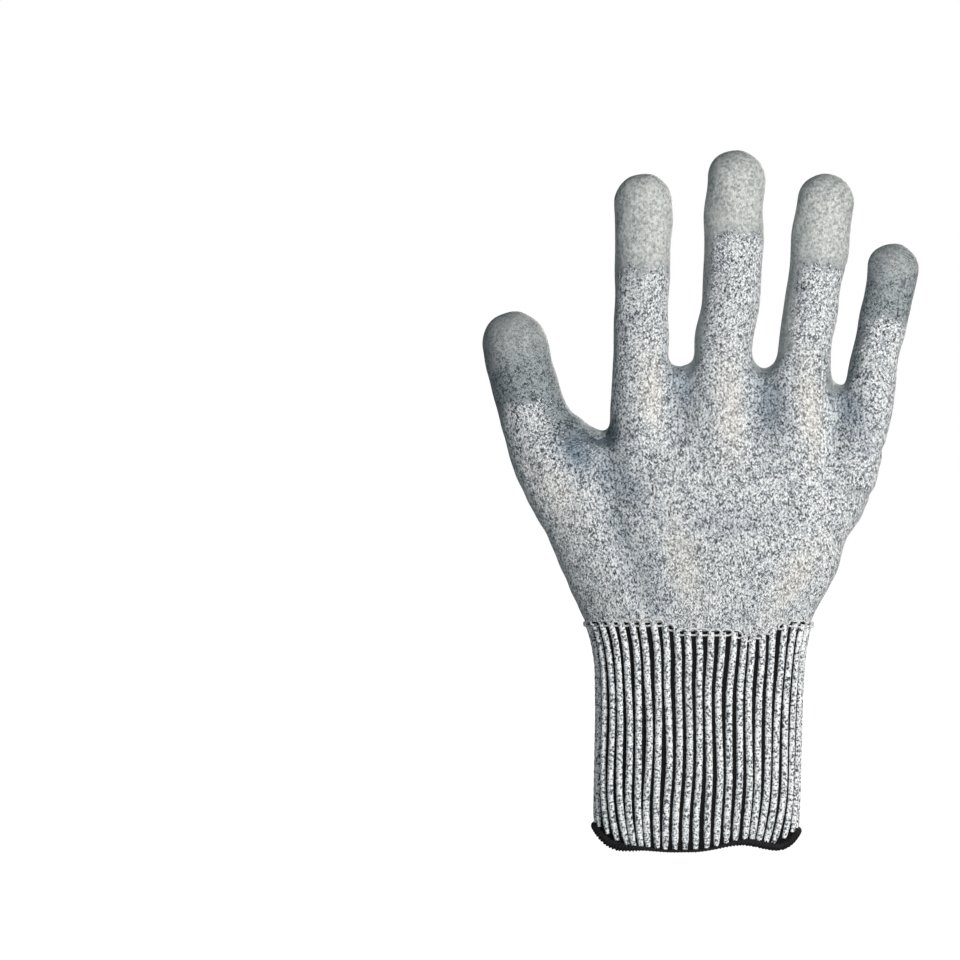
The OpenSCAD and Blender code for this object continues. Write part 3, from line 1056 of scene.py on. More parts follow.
def make_skin(form: HandForm, gauge: Gauge, cell: float) -> Skin:
    """Builds the hand's outer face and works out the knitting and the dip on it.

    Args:
        form: The hand.
        gauge: The knitting.
        cell: Size of the mesh's faces.

    Returns:
        The skin.
    """
    low = np.array([-84.0, -24.5, 66.0])
    high = np.array([84.0, 24.5, 254.0])
    verts, quads = skin_of(form, low, high, cell)
    verts, normals = settle(form, verts, quads)
    centre = verts[quads].mean(axis=1)
    digits = form.digits
    fingers = [d for d in digits if d.digit is not Digit.THUMB]
    owner = np.full(len(quads), -1)
    gaps = np.stack([d.locate(centre)[0] for d in fingers])
    nearest = gaps.argmin(axis=0)
    thumb = digits[0]
    gate = thumb.root[0] + 23.4
    axial = [(centre - d.root) @ d.axis for d in digits]
    owner[(centre[:, 0] < gate) & (axial[0] > thumb.root_zone[0] - 0.8)] = 0
    for i, form_i in enumerate(fingers):
        mine = (nearest == i) & (centre[:, 0] >= gate) & (axial[i + 1] > form_i.root_zone[0] - 0.8)
        owner[mine] = i + 1
    along = np.stack([(verts - d.root) @ d.axis for d in digits])

    cy = form.palm.section(verts[:, Z])[2]
    coat = verts[:, Y] - cy - 0.8
    high_up = ease(verts[:, Z], 148, 172)
    coat += 4.5 * high_up * ease(-verts[:, 0], 20, 28)
    for x, drop, reach in CROTCH_DIPS:
        spot = np.hypot(verts[:, 0] - x, verts[:, Z] - (pivot("index_root")[Z] - drop))
        coat = soft_max(coat, reach - spot, 3)
    # Painted shade, deepest in the fabric's furrows and at the listed spots, and painted highlight where a
    # spot's depth is below zero; only on the back.
    painted_shade = np.zeros(len(verts))
    for fold in form.folds:
        if fold.lift < 0:
            painted_shade = np.maximum(painted_shade, -fold.lift_at(verts) / 4.5)
    for x, z, wide, tall, lean, deep in form.painted_light_spots:
        across, up = verts[:, 0] - x - lean * (verts[:, Z] - z), verts[:, Z] - z
        spot = deep * np.exp(-((across / wide) ** 2) - (up / tall) ** 2)
        painted_shade = np.maximum(painted_shade, spot) if deep > 0 else painted_shade + spot
    knit = knit_map(form, gauge, verts, normals, quads)
    # Painted shade: the darkening reaches much further in round the web of the thumb.
    soak_and_shade = 8 + 26 * ease(-verts[:, 0], 26, 32) * ease(-verts[:, Z], -158, -150)
    for digit in digits:
        gap, station, angle = digit.locate(verts)
        sway = np.clip(2 * np.sin(angle), -1, 1)
        wrap = digit.wrap_near * (1 - sway) / 2 + digit.wrap_far * (1 + sway) / 2
        side = -np.cos(angle) * digit.radius + wrap
        tip = station - (digit.length - digit.dip_down)
        own = soft_max(side, tip, 7)
        near = ease(-gap, -6, -3) * ease(station, -14, -4)
        coat = coat * (1 - near) + np.maximum(own, coat) * near
        soak_and_shade += (digit.soak_and_shade - soak_and_shade) * near
    # The yarn darkens through the film's edge, only towards the back; where the reach is long it is painted
    # shade.
    thin_dip_and_shade = (1 - ease(coat, 0, soak_and_shade)) * ease(-verts[:, Y], -9, 1) * (0.5 + 0.5 * ease(soak_and_shade, 8, 40))
    under = ease(verts[:, Y], -1, 4)
    painted_shade = np.clip(painted_shade, -1, 1) * (1 - under)
    return Skin(verts, normals, quads, knit, coat, thin_dip_and_shade, under, painted_shade, owner, along)


# ---- the shape of the cuff ----


@dataclass
class CuffForm:
    """The cuff, on the same section as the hand's lower end.

    Attributes:
        palm: The form that gives the section.
        ribs: Number of ribs.
        rib_radius: Radius of a rib.
        hem_rises: Places where the hem is pulled up, as turn, rise and width in turns.
        hem_bulk: Radius of the hem where it is thickest.
        link_line: Height of the linking row on the back, as x and z.
        dip_low: Height of the dip's lowest edge, mid palm.
        dip_side: Height of the dip's edge at the cuff's sides.
    """

    palm: PalmForm
    ribs: int = 48
    rib_radius: float = 1.22
    hem_rises: tuple = ((-0.25, 6.6, 0.05), (0.25, 4.4, 0.045), (0.085, 2.4, 0.05))
    hem_bulk: float = 1.35
    link_line: tuple = (
        (-40, 80.5),
        (-34, 81.6),
        (-12, 81.8),
        (-7, 78.6),
        (12, 78.4),
        (18, 76.2),
        (24, 78.2),
        (31, 81.6),
        (40, 80.5),
    )
    dip_low: float = 55
    dip_side: float = 62

    def __post_init__(self) -> None:
        """Measures the section at even steps along the fabric."""
        self.levels = np.arange(0, 90, 1.0)
        self.turns = np.linspace(-1, 1, 1537)
        angle = np.linspace(-np.pi, np.pi, 1441)
        n = 2.15
        self.table = np.zeros((len(self.levels), len(self.turns), 2))
        for i, z in enumerate(self.levels):
            cx, a, cy, b = (float(v) for v in self.palm.section(np.array(z)))
            s, c = np.sin(angle), np.cos(angle)
            x = cx + a * np.sign(s) * np.abs(s) ** (2 / n)
            y = cy - b * np.sign(c) * np.abs(c) ** (2 / n)
            run = np.concatenate([[0], np.cumsum(np.hypot(np.diff(x), np.diff(y)))])
            run = run / run[-1] - 0.5
            wrapped = (self.turns + 0.5) % 1 - 0.5
            self.table[i, :, 0] = np.interp(wrapped, run, x)
            self.table[i, :, 1] = np.interp(wrapped, run, y)

    def _flat(self, turn: np.ndarray, z: np.ndarray) -> np.ndarray:
        """The place on the section, before any lift.

        Args:
            turn: How far round, in turns, from mid back.
            z: Heights.

        Returns:
            x and y, one row each.
        """
        level = np.clip(z, 0, 88.9)
        row = level.astype(int)
        col = (turn + 1) / 2 * (len(self.turns) - 1)
        left = np.clip(col.astype(int), 0, len(self.turns) - 2)
        fr, fc = (level - row)[:, None], (col - left)[:, None]
        low = self.table[row, left] * (1 - fc) + self.table[row, left + 1] * fc
        high = self.table[row + 1, left] * (1 - fc) + self.table[row + 1, left + 1] * fc
        return low * (1 - fr) + high * fr

    def out(self, turn: np.ndarray, z: np.ndarray) -> np.ndarray:
        """The direction that the cuff's face points to.

        Args:
            turn: How far round, in turns.
            z: Heights.

        Returns:
            Unit vectors, one row each.
        """
        way = self._flat(turn + 0.004, z) - self._flat(turn - 0.004, z)
        way /= np.linalg.norm(way, axis=1)[:, None]
        return np.stack([way[:, 1], -way[:, 0], np.zeros(len(way))], axis=1)

    def place(self, turn: np.ndarray, z: np.ndarray, lift: np.ndarray | float = 0.0) -> np.ndarray:
        """Places on the cuff.

        Args:
            turn: How far round, in turns, from mid back, growing towards the little finger.
            z: Heights.
            lift: How far outside the section.

        Returns:
            Places in millimetres, one row each.
        """
        turn, z = np.asarray(turn, float), np.asarray(z, float)
        flat = self._flat(turn, z)
        lift = np.broadcast_to(np.asarray(lift, float), turn.shape)
        return np.column_stack([flat, z]) + self.out(turn, z) * lift[:, None]

    def bulk(self, turn: np.ndarray) -> np.ndarray:
        """Radius of the hem, which is rolled under along part of the back.

        Args:
            turn: How far round, in turns.

        Returns:
            Radii in millimetres.
        """
        hidden = np.exp(-(((turn + 0.02) / 0.1) ** 4))
        return self.hem_bulk * (1 - 0.65 * hidden)

    def hem(self, turn: np.ndarray) -> np.ndarray:
        """Height of the middle of the hem.

        Args:
            turn: How far round, in turns.

        Returns:
            Heights in millimetres.
        """
        turn = np.asarray(turn, float)
        ruffle = 0.35 * (1 + np.sin(turn * 2 * np.pi * 9 + 1)) * np.abs(np.sin(turn * 2 * np.pi))
        out = self.bulk(turn) + ruffle
        for at, rise, width in self.hem_rises:
            away = (turn - at + 0.5) % 1 - 0.5
            out = out + rise * np.exp(-((away / width) ** 2))
        return out

    def link(self, turn: np.ndarray) -> np.ndarray:
        """Height of the linking row.

        Args:
            turn: How far round, in turns.

        Returns:
            Heights in millimetres.
        """
        turn = np.asarray(turn, float)
        x = self._flat(turn, np.full(turn.shape, 78.0))[:, 0]
        xs, zs = np.array(self.link_line, float).T
        back = np.interp(x, xs, zs)
        wrapped = np.abs((turn + 0.5) % 1 - 0.5)
        palm = ease(wrapped, 0.2, 0.3)
        return back * (1 - palm) + 79.5 * palm

    def dip(self, turn: np.ndarray) -> np.ndarray:
        """Height of the lower edge of the dip on the palm side.

        Args:
            turn: How far round, in turns.

        Returns:
            Heights in millimetres.
        """
        away = (np.asarray(turn, float) + 1) % 1 - 0.5
        return self.dip_low + (self.dip_side - self.dip_low) * (away / 0.21) ** 2

    def sheet(
        self,
        name: str,
        turns: np.ndarray,
        low: np.ndarray,
        high: np.ndarray,
        rows: int,
        lift: Callable[[np.ndarray, np.ndarray], np.ndarray],
        thick: float,
        material: bpy.types.Material,
        closed: bool,
    ) -> bpy.types.Object:
        """A strip of cloth on the cuff, as a closed sheet.

        Args:
            name: The object's name.
            turns: Where its columns are, in turns.
            low: Height of the lower edge at each column.
            high: Height of the upper edge at each column.
            rows: Number of rows.
            lift: Gives the lift of the outer face from turns and heights.
            thick: How thick it is.
            material: Its material.
            closed: Whether the last column joins the first.

        Returns:
            The object.
        """
        t = np.linspace(0, 1, rows)
        turn = np.tile(turns, rows)
        z = (low[None] * (1 - t[:, None]) + high[None] * t[:, None]).ravel()
        up = lift(turn, z)
        outer, inner = self.place(turn, z, up), self.place(turn, z, up - thick)
        n = len(turns)
        cols = np.arange(n if closed else n - 1)
        after = (cols + 1) % n
        row = np.stack([cols, after, n + after, n + cols], axis=1)
        quads = np.vstack([r * n + row for r in range(rows - 1)])
        rim = rim_of(quads)
        total = len(outer)
        sides = np.stack([rim[:, 1], rim[:, 0], rim[:, 0] + total, rim[:, 1] + total], axis=1)
        faces = np.vstack([quads, quads[:, ::-1] + total, sides])
        uv = np.column_stack([turn, z / 100])
        uvs = np.concatenate([uv[quads], uv[quads[:, ::-1]], np.zeros((len(sides), 4, 2))])
        if closed:
            last = uvs[..., 0].max(axis=1) - uvs[..., 0].min(axis=1) > 0.5
            uvs[..., 0] += np.where(last[:, None] & (uvs[..., 0] < 0), 1.0, 0)
        return mesh_object(name, np.vstack([outer, inner]), faces, material, None, uvs)


# ---- nodes ----


class Graph:
    """Short ways to add nodes to a tree and to join them."""

    def __init__(self, tree: bpy.types.NodeTree) -> None:
        """Starts on a tree.

        Args:
            tree: The tree that the nodes go into.
        """
        self.tree = tree

    def add(self, kind: str, inputs: dict | None = None, **settings) -> bpy.types.Node:
        """Adds a node.

        Args:
            kind: Its type.
            inputs: What its sockets get, by name or number.
            **settings: Its own settings.

        Returns:
            The node.
        """
        node = self.tree.nodes.new(kind)
        for key, value in settings.items():
            setattr(node, key, value)
        for key, value in (inputs or {}).items():
            self.feed(node.inputs[key], value)
        return node

    def feed(self, socket: bpy.types.NodeSocket, value) -> None:
        """Gives a socket a value or a link.

        Args:
            socket: The input.
            value: A value, or another node's output.
        """
        if isinstance(value, bpy.types.NodeSocket):
            self.tree.links.new(value, socket)
        else:
            socket.default_value = value

    def math(self, operation: str, *values, clamp: bool = False) -> bpy.types.NodeSocket:
        """Adds a sum.

        Args:
            operation: What it works out.
            *values: Its inputs.
            clamp: Whether the result is kept from 0 to 1.

        Returns:
            The result.
        """
        node = self.add("ShaderNodeMath", dict(enumerate(values)), operation=operation, use_clamp=clamp)
        return node.outputs[0]

    def step(self, value, low: float, high: float) -> bpy.types.NodeSocket:
        """Adds a smooth step.

        Args:
            value: What is mapped.
            low: Where the result is 0.
            high: Where it is 1.

        Returns:
            The result.
        """
        node = self.add("ShaderNodeMapRange", {0: value, 1: low, 2: high}, interpolation_type="SMOOTHSTEP")
        return node.outputs[0]

    def total(self, base, *parts: tuple) -> bpy.types.NodeSocket:
        """Adds up values, each times its own share.

        Args:
            base: What they are added to.
            *parts: Pairs of a value and its share.

        Returns:
            The sum.
        """
        for value, share in parts:
            base = self.math("MULTIPLY_ADD", value, share, base)
        return base

    def named(self, name: str) -> bpy.types.NodeSocket:
        """Reads the mesh's own numbers in a material.

        Args:
            name: The attribute's name.

        Returns:
            The value.
        """
        return self.add("ShaderNodeAttribute", attribute_name=name).outputs["Fac"]

    def stored(self, name: str, kind: str = "FLOAT") -> bpy.types.NodeSocket:
        """Reads the mesh's own numbers in a geometry tree.

        Args:
            name: The attribute's name.
            kind: Its data type.

        Returns:
            The value.
        """
        node = self.add("GeometryNodeInputNamedAttribute", {"Name": name}, data_type=kind)
        return node.outputs["Attribute"]

    def place(self) -> bpy.types.NodeSocket:
        """Reads the object's coordinates in a material.

        Returns:
            The place.
        """
        return self.add("ShaderNodeTexCoord").outputs["Object"]

    def bump(self, shader: bpy.types.Node, strength: float, relief: float, height) -> None:
        """Gives a shader a relief.

        Args:
            shader: The shader.
            strength: How strongly it shows.
            relief: How high it is, in metres.
            height: Its shape, from 0 to 1.
        """
        node = self.add("ShaderNodeBump", {"Strength": strength, "Distance": relief, "Height": height})
        self.feed(shader.inputs["Normal"], node.outputs[0])

    def mix(self, share, a, b, blend: str = "MIX") -> bpy.types.NodeSocket:
        """Mixes two colours.

        Args:
            share: How much of the second.
            a: The first colour.
            b: The second colour.
            blend: How they are mixed.

        Returns:
            The mixed colour.
        """
        node = self.add("ShaderNodeMix", data_type="RGBA", blend_type=blend)
        self.feed(node.inputs[0], share)
        self.feed(node.inputs[6], a)
        self.feed(node.inputs[7], b)
        return node.outputs[2]

    def noise(self, place, scale: float, detail: float = 2.0) -> bpy.types.NodeSocket:
        """Adds a noise texture.

        Args:
            place: Where it is read.
            scale: Its fineness.
            detail: Its detail.

        Returns:
            The value, around 0.5.
        """
        node = self.add("ShaderNodeTexNoise", {"Vector": place, "Scale": scale, "Detail": detail})
        return node.outputs["Fac"]

    def ramp(self, value, stops: list[tuple[float, tuple]], hard: bool = False) -> bpy.types.NodeSocket:
        """Adds a colour ramp.

        Args:
            value: What is mapped.
            stops: Places and colours.
            hard: Whether colours don't run into each other.

        Returns:
            The colour.
        """
        node = self.add("ShaderNodeValToRGB", {0: value})
        node.color_ramp.interpolation = "CONSTANT" if hard else "LINEAR"
        elements = node.color_ramp.elements
        while len(elements) < len(stops):
            elements.new(0.5)
        for element, (at, colour) in zip(elements, stops):
            element.position = at
            element.color = colour
        return node.outputs[0]


def tone(r: float, g: float, b: float) -> tuple[float, float, float, float]:
    """A linear colour from display levels.

    Args:
        r: Red, from 0 to 255.
        g: Green.
        b: Blue.

    Returns:
        Linear red, green, blue and alpha.
    """
    def line(v: float) -> float:
        v /= 255
        return v / 12.92 if v <= 0.04045 else ((v + 0.055) / 1.055) ** 2.4

    return (line(r), line(g), line(b), 1.0)


def stitch_group() -> bpy.types.NodeTree:
    """A node group that divides a place in the knitting into stitches.

    Returns:
        The group, with random numbers for each stitch and leg, and the height of the yarn.
    """
    tree = bpy.data.node_groups.new("knit_stitch", "ShaderNodeTree")
    tree.interface.new_socket("Place", in_out="INPUT", socket_type="NodeSocketVector")
    for name in ("Stitch", "Leg", "Height", "Dot", "Streak"):
        tree.interface.new_socket(name, in_out="OUTPUT", socket_type="NodeSocketFloat")
    g = Graph(tree)
    start, end = g.add("NodeGroupInput"), g.add("NodeGroupOutput")
    wobble = g.add("ShaderNodeTexNoise", {"Vector": start.outputs[0], "Scale": 0.8, "Detail": 1.0})
    moved = {0: wobble.outputs["Color"], 1: (0.7, 0.9, 0.0), 2: start.outputs[0]}
    warped = g.add("ShaderNodeVectorMath", moved, operation="MULTIPLY_ADD")
    split = g.add("ShaderNodeSeparateXYZ", {0: warped.outputs[0]})
    u, v = split.outputs[0], split.outputs[1]
    wale = g.math("FLOOR", u)
    across = g.math("SUBTRACT", g.math("FRACT", u), 0.5)
    away = g.math("ABSOLUTE", across)
    slant = g.math("MULTIPLY", away, 1.5)
    row_place = g.math("SUBTRACT", v, slant)
    row = g.math("FLOOR", row_place)
    up = g.math("FRACT", row_place)
    side = g.math("GREATER_THAN", across, 0.0)

    def drawn(number) -> bpy.types.NodeSocket:
        """A random number for each stitch and number."""
        cell = g.add("ShaderNodeCombineXYZ", {0: wale, 1: row, 2: number})
        return g.add("ShaderNodeTexWhiteNoise", {"Vector": cell.outputs[0]}).outputs["Value"]

    def arch(value, turns: float) -> bpy.types.NodeSocket:
        """A hump from 0 up to 1 and down again, while the value goes on by 2 / turns."""
        off = g.math("ABSOLUTE", g.math("MULTIPLY_ADD", value, turns, -1.0))
        return g.math("SUBTRACT", 1.0, g.math("POWER", off, 2.0))

    g.feed(end.inputs["Stitch"], drawn(0.0))
    g.feed(end.inputs["Leg"], drawn(g.math("ADD", side, 3.0)))
    ridge, hump = arch(away, 4.0), arch(up, 2.0)
    crown = g.math("MULTIPLY_ADD", hump, 0.6, 0.4)
    g.feed(end.inputs["Height"], g.math("MULTIPLY", g.math("SQRT", ridge), crown))
    gap = g.math("MULTIPLY", g.step(away, 0.2, 0.46), g.math("MULTIPLY_ADD", hump, 0.7, 0.3))
    g.feed(end.inputs["Dot"], gap)
    shifted = g.math("MULTIPLY_ADD", side, 7.3, g.math("MULTIPLY", u, 1.2))
    along, apart = g.math("MULTIPLY", row_place, 2.1), g.math("MULTIPLY", wale, 3.7)
    fibre = g.add("ShaderNodeCombineXYZ", {0: shifted, 1: along, 2: apart})
    g.feed(end.inputs["Streak"], g.noise(fibre.outputs[0], 1.0))
    return tree


@dataclass(frozen=True)
class MarlYarn:
    """A yarn of light and dark fibres twisted together.

    Attributes:
        dark: Its darkest flecks.
        grey: Its grey flecks.
        light: Most of it.
        white: Its brightest flecks.
        painted_shade: Painted shade: what its colour is multiplied by deep in a fold.
        painted_highlight: Painted highlight: what it is mixed with on a ridge.
        rough: Roughness.
        relief: Height of the stitches in metres.
    """

    dark: tuple = tone(40, 45, 52)
    grey: tuple = tone(122, 131, 140)
    light: tuple = tone(206, 213, 219)
    white: tuple = tone(252, 253, 253)
    painted_shade: tuple = tone(158, 174, 188)
    painted_highlight: tuple = tone(250, 238, 222)
    rough: float = 0.8
    relief: float = 0.00030


@dataclass(frozen=True)
class Dip:
    """The dipped coating.

    Attributes:
        body: Its colour.
        pore: Its colour in the knitting's pores.
        soaked_and_shade: What the yarn's colour is multiplied by where the dip is thinned, and where it is
            painted shade.
        rough: Roughness.
        relief: Height of what the knitting leaves in it, in metres.
        ragged: How ragged its edge is, in millimetres.
    """

    body: tuple = tone(207, 210, 208)
    pore: tuple = tone(128, 135, 138)
    soaked_and_shade: tuple = tone(158, 166, 168)
    rough: float = 0.62
    relief: float = 0.00012
    ragged: float = 3.4


class Finishes:
    """All of the glove's materials."""

    def __init__(self, yarn: MarlYarn, dip: Dip) -> None:
        """Builds them.

        Args:
            yarn: The liner's yarn.
            dip: The coating.
        """
        self.yarn, self.dip = yarn, dip
        self.stitch = stitch_group()
        self.liner = self._liner()
        self.coating = self._coating("glove_dip", 0)
        self.cuff_coating = self._coating("cuff_dip", 0.5)
        self.rib = self._rib()
        self.elastic = self._plain("elastic_ground", tone(8, 8, 10), 0.95)
        self.hem = self._plain("overlock_thread", tone(30, 31, 34), 0.75)
        self.link = self._plain("linking_yarn", tone(232, 234, 235), 0.8)

    def _start(self, name: str) -> tuple[bpy.types.Material, Graph, bpy.types.Node]:
        """A new material with its shader.

        Args:
            name: The material's name.

        Returns:
            The material, its graph and its Principled shader.
        """
        material = bpy.data.materials.new(name)
        material.use_nodes = True
        return material, Graph(material.node_tree), material.node_tree.nodes["Principled BSDF"]

    def _stitches(self, g: Graph) -> bpy.types.Node:
        """Reads the piece's own knitting map through the stitch group.

        Args:
            g: The material's graph.

        Returns:
            The group's node.
        """
        uv = g.add("ShaderNodeUVMap", uv_map="knit")
        group = g.add("ShaderNodeGroup", node_tree=self.stitch)
        g.feed(group.inputs["Place"], uv.outputs[0])
        return group

    def _marl(self, g: Graph, group: bpy.types.Node, place) -> bpy.types.NodeSocket:
        """The yarn's colour.

        Args:
            g: The material's graph.
            group: The stitch group's node.
            place: Object coordinates.

        Returns:
            The colour.
        """
        value = g.total(
            -1.385,
            (group.outputs["Stitch"], 0.15),
            (group.outputs["Leg"], 0.45),
            (group.outputs["Streak"], 2.2),
            (g.noise(place, 300), 0.25),
            (g.noise(place, 1300), 0.7),
        )
        y = self.yarn
        return g.ramp(value, [(0.14, y.dark), (0.32, y.grey), (0.5, y.light), (0.74, y.white)])

    def _liner(self) -> bpy.types.Material:
        """The knitted liner, with the dip's ragged thinned edge, painted shade in furrows and painted
        highlight on ridges.
        """
        material, g, shader = self._start("marl_knit")
        yarn, dip = self.yarn, self.dip
        group, place = self._stitches(g), g.place()
        groove = g.math("MULTIPLY", group.outputs["Dot"], 0.3)
        knitted = g.mix(groove, self._marl(g, group, place), tone(96, 102, 108))
        rag = g.math("MULTIPLY_ADD", g.noise(place, 170, 3), dip.ragged * 2, -dip.ragged)
        rag = g.math("MULTIPLY_ADD", group.outputs["Leg"], 3.4, g.math("ADD", rag, -1.7))
        mask = g.step(g.math("ADD", g.named("coat"), rag), -0.8, 0.8)
        # Painted shade multiplies the colour in furrows; below zero the value lightens it as painted
        # highlight.
        painted_shade = g.named("painted_shade")
        shaded = g.mix(painted_shade, g.mix(mask, knitted, self._dipped(g, group, place)), yarn.painted_shade, "MULTIPLY")
        # Painted highlight on ridges, where the painted shade value is below zero.
        painted_highlight = g.math("MULTIPLY", painted_shade, -0.3, clamp=True)
        g.feed(shader.inputs["Base Color"], g.mix(painted_highlight, shaded, yarn.painted_highlight))
        g.feed(shader.inputs["Roughness"], g.math("MULTIPLY_ADD", mask, dip.rough - yarn.rough, yarn.rough))
        height = g.math("MULTIPLY", group.outputs["Height"], g.math("MULTIPLY_ADD", mask, -0.75, 1.0))
        g.bump(shader, 0.8, yarn.relief, height)
        shader.inputs["Specular IOR Level"].default_value = 0.35
        shader.inputs["Sheen Weight"].default_value = 0.15
        return material

    def _dipped(self, g: Graph, group: bpy.types.Node, place) -> bpy.types.NodeSocket:
        """The dip's colour.

        Args:
            g: The material's graph.
            group: The stitch group's node.
            place: Object coordinates.

        Returns:
            The colour.
        """
        speckle = g.total(
            -0.2,
            (g.noise(place, 60, 3), 0.45),
            (g.noise(place, 850), 1.2),
            (group.outputs["Streak"], -0.95),
            (group.outputs["Height"], -0.2),
            (group.outputs["Leg"], 0.4),
        )
        calm = g.math("MULTIPLY_ADD", g.named("under"), -0.45, 1.0)
        speckle = g.math("MULTIPLY", g.math("MULTIPLY_ADD", speckle, 1.5, 0.1), calm, clamp=True)
        body = g.mix(speckle, self.dip.body, self.dip.pore)
        # Yarn darkened at the film's edge, and painted shade where the reach is long.
        thin_dip_and_shade = g.named("thin_dip_and_shade")
        uneven = g.math("MULTIPLY_ADD", g.math("SUBTRACT", g.noise(place, 240), 0.5), 0.8, thin_dip_and_shade)
        share = g.math("MULTIPLY", g.math("MULTIPLY", uneven, g.math("SQRT", thin_dip_and_shade)), 0.95, clamp=True)
        return g.mix(share, body, g.mix(1.0, self._marl(g, group, place), self.dip.soaked_and_shade, "MULTIPLY"))

    def _coating(self, name: str, dark: float) -> bpy.types.Material:
        """The dip by itself.

        Args:
            name: The material's name.
            dark: How much of the dark below it shows through, from 0 to 1.

        Returns:
            The material.
        """
        material, g, shader = self._start(name)
        group, place = self._stitches(g), g.place()
        colour = self._dipped(g, group, place)
        if dark:
            colour = g.mix(dark, colour, tone(92, 94, 97))
        g.feed(shader.inputs["Base Color"], colour)
        shader.inputs["Roughness"].default_value = self.dip.rough
        height = g.math("MULTIPLY_ADD", g.noise(place, 500, 3), 0.8, group.outputs["Height"])
        g.bump(shader, 0.7, self.dip.relief, height)
        shader.inputs["Specular IOR Level"].default_value = 0.4
        return material

    def _rib(self) -> bpy.types.Material:
        """The ribs' yarn: bright, with dark specks and a stitch every course."""
        material, g, shader = self._start("rib_yarn")
        place = g.place()
        rib = g.add("ShaderNodeAttribute", attribute_name="rib").outputs["Vector"]
        split = g.add("ShaderNodeSeparateXYZ", {0: rib})
        row = g.math("MULTIPLY", split.outputs[1], 1250)
        cell = g.add("ShaderNodeCombineXYZ", {0: g.math("FLOOR", row), 1: split.outputs[2], 2: 0.0})
        draw = g.add("ShaderNodeTexWhiteNoise", {"Vector": cell.outputs[0]}).outputs["Value"]
        value = g.total(-0.67, (draw, 0.16), (g.noise(place, 1250), 2.1))
        y = self.yarn
        stops = [(0.12, tone(56, 61, 68)), (0.3, y.grey), (0.46, tone(222, 227, 231)), (0.72, y.white)]
        g.feed(shader.inputs["Base Color"], g.ramp(value, stops))
        shader.inputs["Roughness"].default_value = 0.8
        wave = g.math("SINE", g.math("MULTIPLY", row, 2 * math.pi))
        g.bump(shader, 0.8, 0.0003, g.math("MULTIPLY_ADD", wave, 0.3, g.noise(place, 1400)))
        shader.inputs["Sheen Weight"].default_value = 0.2
        return material

    def _plain(self, name: str, colour: tuple, rough: float) -> bpy.types.Material:
        """A yarn of one colour.

        Args:
            name: The material's name.
            colour: Its colour.
            rough: Roughness.

        Returns:
            The material.
        """
        material, g, shader = self._start(name)
        place = g.place()
        darker = tuple(0.55 * c for c in colour[:3]) + (1.0,)
        speck = g.step(g.noise(place, 1600), 0.4, 0.62)
        g.feed(shader.inputs["Base Color"], g.mix(speck, colour, darker))
        shader.inputs["Roughness"].default_value = rough
        g.bump(shader, 0.6, 0.0002, g.noise(place, 1800))
        shader.inputs["Specular IOR Level"].default_value = 0.3
        return material


# ---- repeats grown by geometry nodes ----


def grown(name: str, seed: bpy.types.Mesh, tree: bpy.types.NodeTree, inputs: dict) -> bpy.types.Object:
    """Runs a node tree on a mesh and keeps what it makes as a plain mesh.

    Args:
        name: The new object's name.
        seed: The mesh that the tree starts from.
        tree: The tree.
        inputs: What its inputs get, by name.

    Returns:
        The new object, at the origin.
    """
    host = bpy.data.objects.new(name + "_host", seed)
    bpy.context.scene.collection.objects.link(host)
    modifier = host.modifiers.new("grow", "NODES")
    modifier.node_group = tree
    for item in tree.interface.items_tree:
        if item.item_type == "SOCKET" and item.in_out == "INPUT" and item.name in inputs:
            modifier[item.identifier] = inputs[item.name]
    bpy.context.view_layer.update()
    graph = bpy.context.evaluated_depsgraph_get()
    whole = host.evaluated_get(graph)
    mesh = bpy.data.meshes.new_from_object(whole, preserve_all_data_layers=True, depsgraph=graph)
    mesh.name = name
    bpy.data.objects.remove(host)
    obj = bpy.data.objects.new(name, mesh)
    bpy.context.scene.collection.objects.link(obj)
    return obj


def seed_mesh(verts: np.ndarray, edges: list, values: dict[str, np.ndarray]) -> bpy.types.Mesh:
    """A mesh of points and lines for a node tree to start from.

    Args:
        verts: Points in millimetres.
        edges: Lines between them.
        values: Named numbers or vectors for each point.

    Returns:
        The mesh.
    """
    mesh = bpy.data.meshes.new("seed")
    mesh.from_pydata((verts * MM).tolist(), edges, [])
    for key, numbers in values.items():
        numbers = np.asarray(numbers, np.float32)
        kind, slot = ("FLOAT", "value") if numbers.ndim == 1 else ("FLOAT_VECTOR", "vector")
        mesh.attributes.new(key, kind, "POINT").data.foreach_set(slot, numbers.ravel())
    return mesh


class GrowTree(Graph):
    """A geometry tree with a mesh going in, a mesh of one material coming out, and some inputs of its own."""

    def __init__(self, name: str, **kinds: str) -> None:
        """Makes the tree and its two ends.

        Args:
            name: Its name.
            **kinds: The kind of each input of its own.
        """
        super().__init__(bpy.data.node_groups.new(name, "GeometryNodeTree"))
        for key, kind in {"Geometry": "Geometry", **kinds, "Material": "Material"}.items():
            self.tree.interface.new_socket(key, in_out="INPUT", socket_type="NodeSocket" + kind)
        self.tree.interface.new_socket("Geometry", in_out="OUTPUT", socket_type="NodeSocketGeometry")
        self.given = self.add("NodeGroupInput").outputs
        self.end = self.add("NodeGroupOutput")

    def finish(self, made: bpy.types.NodeSocket) -> bpy.types.NodeTree:
        """Gives what was made its material and sends it out.

        Args:
            made: What was made.

        Returns:
            The tree.
        """
        whole = self.add("GeometryNodeRealizeInstances", {"Geometry": made})
        inputs = {"Geometry": whole.outputs[0], "Material": self.given["Material"]}
        self.feed(self.end.inputs[0], self.add("GeometryNodeSetMaterial", inputs).outputs[0])
        return self.tree


